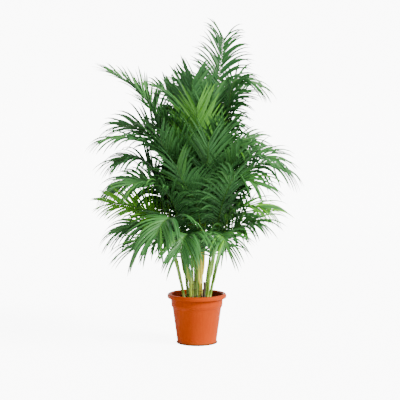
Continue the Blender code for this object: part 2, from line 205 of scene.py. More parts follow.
def grow_tube(bm: bmesh.types.BMesh, sections: Sequence[Section], tone: float, material: int) -> None:
    """Grows one closed tube through its sections, by extruding a circle's face.

    Args:
        bm: The mesh that receives it.
        sections: The tube's rings, from foot to tip.
        tone: The tone attribute of all its corners.
        material: The material index of its faces.
    """
    blade_layer = bm.verts.layers.float_vector["blade"]
    tone_layer = bm.verts.layers.float["tone"]
    count = len(sections[0].corners)
    made = bmesh.ops.create_circle(bm, cap_ends=True, segments=count, radius=PETIOLE_HALF)["verts"]
    face = made[0].link_faces[0]
    face.material_index = material
    foot = list(face.verts)
    for i, section in enumerate(sections):
        if i:
            face = bmesh.ops.extrude_discrete_faces(bm, faces=[face])["faces"][0]
        for corner, place in zip(face.verts, section.corners):
            corner.co = place
            corner[blade_layer] = section.blade
            corner[tone_layer] = tone
    cap = bmesh.ops.contextual_create(bm, geom=foot)["faces"][0]
    cap.material_index = material


# ---------------------------------------------------------------------------------------------
# Materials
# ---------------------------------------------------------------------------------------------


class Wiring:
    """Adds nodes to one node tree and links them."""

    COLOUR_MIX_INPUTS = (0, 6, 7)
    COLOUR_MIX_RESULT = 2

    def __init__(self, tree: bpy.types.NodeTree) -> None:
        """Starts wiring a tree."""
        self.tree = tree

    def node(self, kind: str, **settings: object) -> bpy.types.Node:
        """Adds a node.

        Args:
            kind: The node's type name, without the ShaderNode that it starts with.
            **settings: Properties to set on it.

        Returns:
            The node.
        """
        made = self.tree.nodes.new(f"ShaderNode{kind}")
        for name, value in settings.items():
            setattr(made, name, value)
        return made

    def feed(self, socket: bpy.types.NodeSocket, value: object) -> None:
        """Links a socket to an output, or sets its value.

        Args:
            socket: The input socket.
            value: An output socket, a number, a vector or a colour.
        """
        if isinstance(value, bpy.types.NodeSocket):
            self.tree.links.new(value, socket)
        elif isinstance(value, tuple) and len(value) == 3 and socket.type == "RGBA":
            socket.default_value = (*value, 1.0)
        else:
            socket.default_value = value

    def math(self, operation: str, *values: object) -> bpy.types.NodeSocket:
        """Adds a Math node and returns its output.

        Args:
            operation: The operation's name.
            *values: Its inputs, as outputs of other nodes or numbers.

        Returns:
            The node's output.
        """
        made = self.node("Math", operation=operation)
        for socket, value in zip(made.inputs, values):
            self.feed(socket, value)
        return made.outputs[0]

    def band(
        self, value: object, low: float, high: float, start: float = 0.0, end: float = 1.0
    ) -> bpy.types.NodeSocket:
        """Maps a value's range from low to high onto start to end, smoothly and clamped.

        Args:
            value: The output to map.
            low: Where the range starts.
            high: Where it ends.
            start: What low becomes.
            end: What high becomes.

        Returns:
            The mapped output.
        """
        made = self.node("MapRange", interpolation_type="SMOOTHSTEP")
        for name, number in (("From Min", low), ("From Max", high), ("To Min", start), ("To Max", end)):
            made.inputs[name].default_value = number
        self.feed(made.inputs["Value"], value)
        return made.outputs["Result"]

    def mix(self, share: object, first: object, second: object) -> bpy.types.NodeSocket:
        """Mixes two colours.

        Args:
            share: How much of the second there is.
            first: The first colour.
            second: The second colour.

        Returns:
            The mixed colour.
        """
        made = self.node("Mix", data_type="RGBA")
        for number, value in zip(self.COLOUR_MIX_INPUTS, (share, first, second)):
            self.feed(made.inputs[number], value)
        return made.outputs[self.COLOUR_MIX_RESULT]

    def place(self) -> bpy.types.NodeSocket:
        """Gives the coordinates in the piece's own frame."""
        return self.node("TexCoord").outputs["Object"]

    def split(self, vector: bpy.types.NodeSocket) -> Sequence[bpy.types.NodeSocket]:
        """Splits a vector.

        Args:
            vector: The vector's output.

        Returns:
            Its three values' outputs.
        """
        parts = self.node("SeparateXYZ")
        self.feed(parts.inputs[0], vector)
        return parts.outputs

    def blade(self) -> Sequence[bpy.types.NodeSocket]:
        """Gives the blade attribute's three values, which mean what each builder says."""
        return self.split(self.node("Attribute", attribute_name="blade").outputs["Vector"])

    def tone(self) -> bpy.types.NodeSocket:
        """Gives the tone attribute, from 0, old and green, to 1, young or yellow."""
        return self.node("Attribute", attribute_name="tone").outputs["Fac"]

    def group(self, tree: bpy.types.NodeTree, **values: object) -> bpy.types.Node:
        """Adds a node group and feeds its inputs.

        Args:
            tree: The group.
            **values: Its inputs by name, with _ for a space.

        Returns:
            The group's node.
        """
        made = self.node("Group", node_tree=tree)
        for name, value in values.items():
            self.feed(made.inputs[name.replace("_", " ")], value)
        return made


def new_group(name: str, inputs: dict[str, str], outputs: dict[str, str]) -> tuple:
    """Makes an empty shader node group.

    Args:
        name: The group's name.
        inputs: Each input's name and its kind: Float, Vector or Color.
        outputs: The same for its outputs.

    Returns:
        The group, its wiring, and its input and output nodes.
    """
    tree = bpy.data.node_groups.new(name, "ShaderNodeTree")
    for in_out, sockets in (("INPUT", inputs), ("OUTPUT", outputs)):
        for socket, kind in sockets.items():
            tree.interface.new_socket(socket, in_out=in_out, socket_type=f"NodeSocket{kind}")
    wiring = Wiring(tree)
    return tree, wiring, tree.nodes.new("NodeGroupInput"), tree.nodes.new("NodeGroupOutput")


class Effects:
    """The effects that several finishes share, each a node group that is built once."""

    def __init__(self) -> None:
        """Builds every group."""
        self.mottle = self._mottle()
        self.streaks = self._streaks()
        self.ribs = self._ribs()
        self.specks = self._specks()

    def patches(self, wiring: Wiring, place: bpy.types.NodeSocket, scale: float) -> bpy.types.NodeSocket:
        """Places the mottle in a material and gives its patches."""
        return wiring.group(self.mottle, Place=place, Scale=scale).outputs["Patches"]

    def fibres(
        self, wiring: Wiring, place: bpy.types.NodeSocket, scale: float, stretch: float
    ) -> bpy.types.NodeSocket:
        """Places the streaks in a material and gives them."""
        return wiring.group(self.streaks, Place=place, Scale=scale, Stretch=stretch).outputs["Streaks"]

    def spots(
        self, wiring: Wiring, place: bpy.types.NodeSocket, scale: float, size: float
    ) -> bpy.types.NodeSocket:
        """Places the specks in a material and gives them."""
        return wiring.group(self.specks, Place=place, Scale=scale, Size=size).outputs["Specks"]

    def _mottle(self) -> bpy.types.NodeTree:
        """Soft uneven patches: a value from 0 to 1 that wanders over the surface.

        Returns:
            The group.
        """
        tree, wiring, inside, outside = new_group(
            "mottle", {"Place": "Vector", "Scale": "Float"}, {"Patches": "Float"}
        )
        cloud = wiring.node("TexNoise")
        wiring.feed(cloud.inputs["Vector"], inside.outputs["Place"])
        wiring.feed(cloud.inputs["Scale"], inside.outputs["Scale"])
        cloud.inputs["Detail"].default_value = 4.0
        cloud.inputs["Roughness"].default_value = 0.6
        wiring.feed(outside.inputs["Patches"], wiring.band(cloud.outputs["Fac"], 0.32, 0.68))
        return tree

    def _streaks(self) -> bpy.types.NodeTree:
        """Fine streaks along Z, as fibres make on an upright stem.

        Returns:
            The group.
        """
        tree, wiring, inside, outside = new_group(
            "streaks", {"Place": "Vector", "Scale": "Float", "Stretch": "Float"}, {"Streaks": "Float"}
        )
        squeeze = wiring.node("CombineXYZ")
        wiring.feed(squeeze.inputs["X"], inside.outputs["Scale"])
        wiring.feed(squeeze.inputs["Y"], inside.outputs["Scale"])
        shrunk = wiring.math("DIVIDE", inside.outputs["Scale"], inside.outputs["Stretch"])
        wiring.feed(squeeze.inputs["Z"], shrunk)
        scaled = wiring.node("VectorMath", operation="MULTIPLY")
        wiring.feed(scaled.inputs[0], inside.outputs["Place"])
        wiring.feed(scaled.inputs[1], squeeze.outputs["Vector"])
        grain = wiring.node("TexNoise")
        wiring.feed(grain.inputs["Vector"], scaled.outputs["Vector"])
        grain.inputs["Scale"].default_value = 1.0
        grain.inputs["Detail"].default_value = 3.0
        wiring.feed(outside.inputs["Streaks"], wiring.band(grain.outputs["Fac"], 0.35, 0.65))
        return tree

    def _ribs(self) -> bpy.types.NodeTree:
        """Parallel ribs across a leaflet, from its across value, with a height and a midrib mask.

        Returns:
            The group.
        """
        tree, wiring, inside, outside = new_group(
            "ribs", {"Across": "Float", "Ribs": "Float"}, {"Height": "Float", "Midrib": "Float"}
        )
        turns = wiring.math("MULTIPLY", inside.outputs["Across"], inside.outputs["Ribs"])
        wave = wiring.math("SINE", wiring.math("MULTIPLY", turns, math.pi))
        wiring.feed(outside.inputs["Height"], wiring.math("MULTIPLY_ADD", wave, 0.5, 0.5))
        edge = wiring.math("ABSOLUTE", inside.outputs["Across"])
        wiring.feed(outside.inputs["Midrib"], wiring.band(edge, 0.05, 0.14, 1.0, 0.0))
        return tree

    def _specks(self) -> bpy.types.NodeTree:
        """Small scattered specks: a mask that is 1 on a speck.

        Returns:
            The group.
        """
        tree, wiring, inside, outside = new_group(
            "specks", {"Place": "Vector", "Scale": "Float", "Size": "Float"}, {"Specks": "Float"}
        )
        cells = wiring.node("TexVoronoi")
        wiring.feed(cells.inputs["Vector"], inside.outputs["Place"])
        wiring.feed(cells.inputs["Scale"], inside.outputs["Scale"])
        beyond = wiring.math("SUBTRACT", inside.outputs["Size"], cells.outputs["Distance"])
        wiring.feed(outside.inputs["Specks"], wiring.band(beyond, 0.0, 0.08))
        return tree


def new_material(name: str) -> tuple[bpy.types.Material, Wiring, bpy.types.Node]:
    """Makes a material with a Principled shader.

    Args:
        name: The material's name.

    Returns:
        The material, its wiring and its shader.
    """
    material = bpy.data.materials.new(name)
    material.use_nodes = True
    shader = material.node_tree.nodes["Principled BSDF"]
    return material, Wiring(material.node_tree), shader


def paint(
    wiring: Wiring, shader: bpy.types.Node, colour: object, mask: object, roughness: tuple[float, float]
) -> None:
    """Gives a shader its colour and its roughness.

    Args:
        wiring: The material's wiring.
        shader: Its shader.
        colour: The colour.
        mask: What the roughness follows, from 0 to 1.
        roughness: The roughness where the mask is 0, and where it is 1.
    """
    wiring.feed(shader.inputs["Base Color"], colour)
    wiring.feed(shader.inputs["Roughness"], wiring.band(mask, 0.0, 1.0, *roughness))


def raise_surface(
    wiring: Wiring, shader: bpy.types.Node, height: object, depth: float, strength: float
) -> None:
    """Gives a shader a bump.

    Args:
        wiring: The material's wiring.
        shader: Its shader.
        height: The height, from 0 to 1.
        depth: How deep 1 is, in metres.
        strength: The bump's strength.
    """
    bump = wiring.node("Bump")
    bump.inputs["Strength"].default_value = strength
    bump.inputs["Distance"].default_value = depth
    wiring.feed(bump.inputs["Height"], height)
    wiring.feed(shader.inputs["Normal"], bump.outputs["Normal"])


@dataclass(frozen=True)
class LeafFinish:
    """Leaflets: ribbed, satin, from deep green to young yellow-green, paler beneath."""

    mature: Colour = (0.017, 0.088, 0.030)
    middle: Colour = (0.040, 0.158, 0.040)
    young: Colour = (0.130, 0.420, 0.012)
    beneath: Colour = (0.045, 0.140, 0.045)
    midrib: Colour = (0.090, 0.240, 0.035)
    tip: Colour = (0.160, 0.120, 0.040)
    patch_scale: float = 26.0
    ribs: float = 7.0
    rib_depth: float = 0.00025
    scorched_from: float = 0.955
    shine: float = 0.25

    def material(self, effects: Effects) -> bpy.types.Material:
        """Builds the material.

        Args:
            effects: The shared effects.

        Returns:
            The material.
        """
        material, wiring, shader = new_material("leaflet")
        along, sideways, under = wiring.blade()
        tone = wiring.tone()
        place = wiring.place()
        patches = effects.patches(wiring, place, self.patch_scale)
        ribs = wiring.group(effects.ribs, Across=sideways, Ribs=self.ribs)
        green = wiring.mix(wiring.band(tone, 0.0, 0.5), self.mature, self.middle)
        green = wiring.mix(wiring.band(tone, 0.5, 1.0), green, self.young)
        shade = wiring.math("MULTIPLY_ADD", patches, 0.30, 0.82)
        lit = wiring.node("HueSaturation")
        wiring.feed(lit.inputs["Color"], green)
        wiring.feed(lit.inputs["Value"], shade)
        furrow = wiring.math("MULTIPLY", ribs.outputs["Height"], 0.10)
        colour = wiring.mix(furrow, lit.outputs["Color"], self.young)
        below = wiring.math("MULTIPLY", wiring.band(under, 0.50, 0.56), 0.65)
        colour = wiring.mix(below, colour, self.beneath)
        rib = wiring.math("MULTIPLY", ribs.outputs["Midrib"], 0.45)
        colour = wiring.mix(rib, colour, self.midrib)
        scorched = wiring.math("MULTIPLY", wiring.band(along, self.scorched_from, 1.0), 0.8)
        colour = wiring.mix(scorched, colour, self.tip)
        paint(wiring, shader, colour, patches, (0.36, 0.52))
        shader.inputs["Specular IOR Level"].default_value = self.shine
        raise_surface(wiring, shader, ribs.outputs["Height"], self.rib_depth, 0.6)
        return material


@dataclass(frozen=True)
class StalkFinish:
    """Sheath, petiole and rachis: smooth, waxy and yellow-green, greener towards the tip."""

    sheath: Colour = (0.150, 0.350, 0.030)
    straw: Colour = (0.720, 0.580, 0.045)
    petiole: Colour = (0.150, 0.330, 0.030)
    rachis: Colour = (0.045, 0.140, 0.016)
    scurf: Colour = (0.120, 0.090, 0.035)
    fibre_scale: float = 700.0
    fibre_stretch: float = 30.0
    fibre_depth: float = 0.0002
    scurf_scale: float = 420.0
    scurf_size: float = 0.20

    def material(self, effects: Effects) -> bpy.types.Material:
        """Builds the material.

        Args:
            effects: The shared effects.

        Returns:
            The material.
        """
        material, wiring, shader = new_material("stalk")
        along, tone = wiring.blade()[0], wiring.tone()
        place = wiring.place()
        streaks = effects.fibres(wiring, place, self.fibre_scale, self.fibre_stretch)
        specks = effects.spots(wiring, place, self.scurf_scale, self.scurf_size)
        sheath = wiring.mix(wiring.band(tone, 0.20, 0.95), self.sheath, self.straw)
        colour = wiring.mix(wiring.band(along, 0.10, 0.45), sheath, self.petiole)
        colour = wiring.mix(wiring.band(along, 0.36, 0.56), colour, self.rachis)
        colour = wiring.mix(wiring.math("MULTIPLY", streaks, 0.30), colour, self.rachis)
        low = wiring.math("MULTIPLY", specks, wiring.band(along, 0.0, 0.40, 0.55, 0.0))
        colour = wiring.mix(low, colour, self.scurf)
        paint(wiring, shader, colour, streaks, (0.34, 0.50))
        raise_surface(wiring, shader, streaks, self.fibre_depth, 0.4)
        return material


@dataclass(frozen=True)
class CaneFinish:
    """Canes: pale green to straw with tan leaf scars, fibres along them and soil at the foot."""

    green: Colour = (0.140, 0.320, 0.022)
    straw: Colour = (0.700, 0.560, 0.050)
    scar: Colour = (0.110, 0.080, 0.025)
    bloom: Colour = (0.300, 0.430, 0.130)
    dirt: Colour = (0.060, 0.038, 0.022)
    fibre_scale: float = 520.0
    fibre_stretch: float = 22.0
    fibre_depth: float = 0.0003
    patch_scale: float = 60.0
    dirt_from: float = 0.168
    dirt_to: float = 0.196
    dirt_waver: float = 0.012

    def material(self, effects: Effects) -> bpy.types.Material:
        """Builds the material.

        Args:
            effects: The shared effects.

        Returns:
            The material.
        """
        material, wiring, shader = new_material("cane")
        scar, tone = wiring.blade()[1], wiring.tone()
        place = wiring.place()
        streaks = effects.fibres(wiring, place, self.fibre_scale, self.fibre_stretch)
        patches = effects.patches(wiring, place, self.patch_scale)
        colour = wiring.mix(tone, self.green, self.straw)
        colour = wiring.mix(wiring.math("MULTIPLY", patches, 0.35), colour, self.bloom)
        colour = wiring.mix(wiring.math("MULTIPLY", streaks, 0.22), colour, self.scar)
        colour = wiring.mix(wiring.math("MULTIPLY", scar, 0.85), colour, self.scar)
        foot = wiring.math("MULTIPLY_ADD", patches, self.dirt_waver, wiring.split(place)[2])
        painted_contact_shadow = wiring.band(foot, self.dirt_from, self.dirt_to, 0.9, 0.0)
        colour = wiring.mix(painted_contact_shadow, colour, self.dirt)
        paint(wiring, shader, colour, patches, (0.42, 0.62))
        raise_surface(wiring, shader, streaks, self.fibre_depth, 0.5)
        return material


@dataclass(frozen=True)
class HuskFinish:
    """Dry husks at the canes' feet: papery, fibrous and brown."""

    light: Colour = (0.300, 0.200, 0.095)
    dark: Colour = (0.085, 0.050, 0.025)
    name: str = "dry husk"
    fibre_scale: float = 900.0
    fibre_stretch: float = 26.0
    fibre_depth: float = 0.0006
    patch_scale: float = 90.0

    def material(self, effects: Effects) -> bpy.types.Material:
        """Builds the material.

        Args:
            effects: The shared effects.

        Returns:
            The material.
        """
        material, wiring, shader = new_material(self.name)
        place = wiring.place()
        streaks = effects.fibres(wiring, place, self.fibre_scale, self.fibre_stretch)
        patches = effects.patches(wiring, place, self.patch_scale)
        colour = wiring.mix(streaks, self.light, self.dark)
        colour = wiring.mix(wiring.math("MULTIPLY", patches, 0.5), colour, self.dark)
        paint(wiring, shader, colour, patches, (0.72, 0.90))
        raise_surface(wiring, shader, streaks, self.fibre_depth, 0.8)
        return material


# The stub cane takes a near-black copy of the husk finish, darker than every other cane.
STUB_FINISH = HuskFinish((0.060, 0.045, 0.020), (0.016, 0.012, 0.006), "dark stub")


@dataclass(frozen=True)
class PotFinish:
    """Moulded orange plastic: satin, faintly uneven, scuffed on its edges, dusty near the foot, with
    painted shade inside and a painted contact shadow at the foot.
    """

    body: Colour = (0.360, 0.038, 0.001)
    pale: Colour = (0.420, 0.056, 0.001)
    deep: Colour = (0.190, 0.014, 0.001)
    dust: Colour = (0.260, 0.090, 0.025)
    # Painted contact shadow: the near-black given to the foot's lowest few millimetres.
    painted_contact_shadow: Colour = (0.040, 0.012, 0.004)
    # Painted shade: the darker orange given to the inner wall.
    inside: Colour = (0.120, 0.009, 0.001)
    shine: float = 0.10
    shine_tint: Colour = (1.0, 0.55, 0.25)
    patch_scale: float = 22.0
    grain_scale: float = 900.0
    grain_depth: float = 0.00008
    dust_scale: float = 160.0
    dust_size: float = 0.10
    flow_scale: float = 150.0
    flow_stretch: float = 14.0
    grime_from: float = 0.004
    grime_to: float = 0.020
    grime_waver: float = 0.006
    # Heights over which the painted contact shadow at the foot fades out.
    contact_shadow_from: float = 0.0030
    contact_shadow_to: float = 0.0085

    def material(self, effects: Effects) -> bpy.types.Material:
        """Builds the material.

        Args:
            effects: The shared effects.

        Returns:
            The material.
        """
        material, wiring, shader = new_material("moulded plastic")
        place = wiring.place()
        height = wiring.split(place)[2]
        patches = effects.patches(wiring, place, self.patch_scale)
        fine = effects.patches(wiring, place, self.grain_scale)
        specks = effects.spots(wiring, place, self.dust_scale, self.dust_size)
        streaks = effects.fibres(wiring, place, self.flow_scale, self.flow_stretch)
        colour = wiring.mix(wiring.math("MULTIPLY", patches, 0.22), self.body, self.pale)
        colour = wiring.mix(wiring.math("MULTIPLY", streaks, 0.12), colour, self.deep)
        worn = wiring.node("NewGeometry").outputs["Pointiness"]
        scuffed = wiring.math("MULTIPLY", wiring.band(worn, 0.52, 0.58), 0.35)
        colour = wiring.mix(scuffed, colour, self.pale)
        low = wiring.math("MULTIPLY_ADD", patches, self.grime_waver, height)
        grime = wiring.band(low, self.grime_from, self.grime_to, 0.30, 0.0)
        grime = wiring.math("MAXIMUM", grime, wiring.math("MULTIPLY", specks, 0.30))
        colour = wiring.mix(grime, colour, self.dust)
        # Painted shade: faces that look towards the axis, on the inner wall, are darkened.
        facing = wiring.node("VectorMath", operation="DOT_PRODUCT")
        wiring.feed(facing.inputs[0], place)
        wiring.feed(facing.inputs[1], wiring.node("TexCoord").outputs["Normal"])
        inner_wall_shade = wiring.band(facing.outputs["Value"], -0.060, -0.010, 0.80, 0.0)
        colour = wiring.mix(inner_wall_shade, colour, self.inside)
        # Painted contact shadow: the foot's lowest few millimetres are darkened almost to black.
        contact_shadow_mask = wiring.band(height, self.contact_shadow_from, self.contact_shadow_to, 0.95, 0.0)
        colour = wiring.mix(contact_shadow_mask, colour, self.painted_contact_shadow)
        paint(wiring, shader, colour, patches, (0.40, 0.54))
        shader.inputs["Specular IOR Level"].default_value = self.shine
        wiring.feed(shader.inputs["Specular Tint"], self.shine_tint)
        raise_surface(wiring, shader, fine, self.grain_depth, 0.5)
        return material


@dataclass(frozen=True)
class SoilFinish:
    """Potting mix: dark and crumbly, with paler bark and root fibres."""

    dark: Colour = (0.016, 0.010, 0.006)
    brown: Colour = (0.070, 0.042, 0.022)
    pale: Colour = (0.190, 0.130, 0.075)
    crumb_scale: float = 420.0
    crumb_depth: float = 0.0015
    lump_scale: float = 95.0
    bark_scale: float = 260.0
    bark_size: float = 0.22

    def material(self, effects: Effects) -> bpy.types.Material:
        """Builds the material.

        Args:
            effects: The shared effects.

        Returns:
            The material.
        """
        material, wiring, shader = new_material("potting mix")
        place = wiring.place()
        crumbs = effects.patches(wiring, place, self.crumb_scale)
        lumps = effects.patches(wiring, place, self.lump_scale)
        specks = effects.spots(wiring, place, self.bark_scale, self.bark_size)
        colour = wiring.mix(crumbs, self.dark, self.brown)
        colour = wiring.mix(wiring.math("MULTIPLY", specks, 0.55), colour, self.pale)
        paint(wiring, shader, colour, lumps, (0.80, 0.97))
        height = wiring.math("MULTIPLY_ADD", lumps, 0.5, wiring.math("MULTIPLY", crumbs, 0.5))
        raise_surface(wiring, shader, height, self.crumb_depth, 0.8)
        return material


# ---------------------------------------------------------------------------------------------
# The plant's plan: canes and fronds, as the CAD frame has them
# ---------------------------------------------------------------------------------------------

FIT_GAP = 0.0004  # between a cane's top and its stalk, and between the soil and the collar
SEAT_OFFSET = 0.0058  # from a cane's skin to the centre of a stalk at its side
HOLD = 0.35  # how far a frond keeps its last slope, as a share of its span
SOIL_EDGE_Z = 0.160
SOIL_CROWN_Z = 0.166
CANE_FOOT_Z = 0.125
CANE_BASE_RADIUS = 0.0060
CANE_TOP_RADIUS = 0.0046
PETIOLE_HALF = 0.0032  # half its width
PETIOLE_SHARE = 0.22  # how much of a frond's centre line has no leaflets
BASE_SPREAD = 64.0  # degrees between the rachis and its first leaflets
TIP_SPREAD = 26.0  # the same at its tip
LEAFLET_LONGEST = 0.4  # where on the blade the longest leaflets are, as a share
LEAFLET_TAPER = 1.15  # how fast they get shorter away from there


@dataclass(frozen=True)
class Cane:
    """One straight cane: the way it leans out, its distance from the axis at foot and top, its top."""

    azimuth: float
    foot_radius: float
    top_radius: float
    top_z: float
    tone: float = 0.2

    def ends(self) -> tuple[Vector, Vector]:
        """Gives the cane's foot and top."""
        foot = polar(self.azimuth, self.foot_radius, CANE_FOOT_Z)
        return foot, polar(self.azimuth, self.top_radius, self.top_z)

    def axis(self) -> Vector:
        """Gives the cane's direction."""
        foot, top = self.ends()
        return (top - foot).normalized()

    def radius(self, share: float) -> float:
        """Gives the cane's radius at a share of its length."""
        return blend_values(CANE_BASE_RADIUS, CANE_TOP_RADIUS, share)


CANES = {
    "right": Cane(2, 0.041, 0.080, 0.33, 0.25),
    "back_right": Cane(45, 0.042, 0.070, 0.31, 0.10),
    "back": Cane(90, 0.040, 0.064, 0.34, 0.20),
    "back_left": Cane(135, 0.042, 0.072, 0.32, 0.15),
    "left": Cane(185, 0.041, 0.082, 0.34, 0.30),
    "front_left": Cane(241, 0.042, 0.066, 0.31, 0.45),
    "front": Cane(289, 0.040, 0.055, 0.33, 0.95),
    "front_right": Cane(326, 0.042, 0.068, 0.32, 0.35),
    "heart_right": Cane(20, 0.016, 0.024, 0.42, 0.30),
    "heart_back": Cane(110, 0.017, 0.026, 0.40, 0.10),
    "heart_left": Cane(200, 0.016, 0.024, 0.43, 0.25),
    "heart_front": Cane(300, 0.017, 0.024, 0.39, 0.20),
    "stub": Cane(298, 0.062, 0.064, 0.255, 0.00),
}


@dataclass(frozen=True)
class Frond:
    """One frond.

    It sits at its cane's side, turned by side degrees from the way the cane leans, or on the
    cane's top where side is 0. seat is how far up the cane that is. It keeps the cane's
    direction for about the length rise, and ends at tip with the slope pitch, in degrees. Its
    blade's sideways direction is square to the azimuth face, and is then turned about the
    centre line by roll degrees. Its leaflets stand up from the flat by lift degrees, and the
    longest of them has the length leaf. droop is how far the leaflets hang over, tone runs
    from 0, old and dark, to 1, young and yellow-green, and breadth and gap multiply the
    leaflets' width and spacing.
    """

    cane: str
    side: float
    seat: float
    tip: tuple[float, float, float]
    rise: float
    pitch: float
    face: float
    lift: float
    roll: float
    leaf: float
    droop: float = 0.5
    tone: float = 0.35
    breadth: float = 1.0
    gap: float = 1.0

    def controls(self) -> tuple[Vector, Vector, Vector, Vector]:
        """Gives the four control points of the frond's centre line, a cubic.

        Returns:
            The points, from the seat to the tip.
        """
        cane = CANES[self.cane]
        foot, top = cane.ends()
        along = cane.axis()
        if self.side:
            out = across(polar(cane.azimuth + self.side, 1.0, 0.0), along)
            seat = foot.lerp(top, self.seat) + out * (cane.radius(self.seat) + SEAT_OFFSET)
        else:
            seat = top + along * FIT_GAP
        tip = Vector(self.tip)
        run = Vector((tip.x - seat.x, tip.y - seat.y, 0.0)).normalized()
        pitch = math.radians(self.pitch)
        end = run * math.cos(pitch) + Vector((0.0, 0.0, math.sin(pitch)))
        hold = HOLD * (tip - seat).length
        return seat, seat + along * self.rise, tip - end * hold, tip


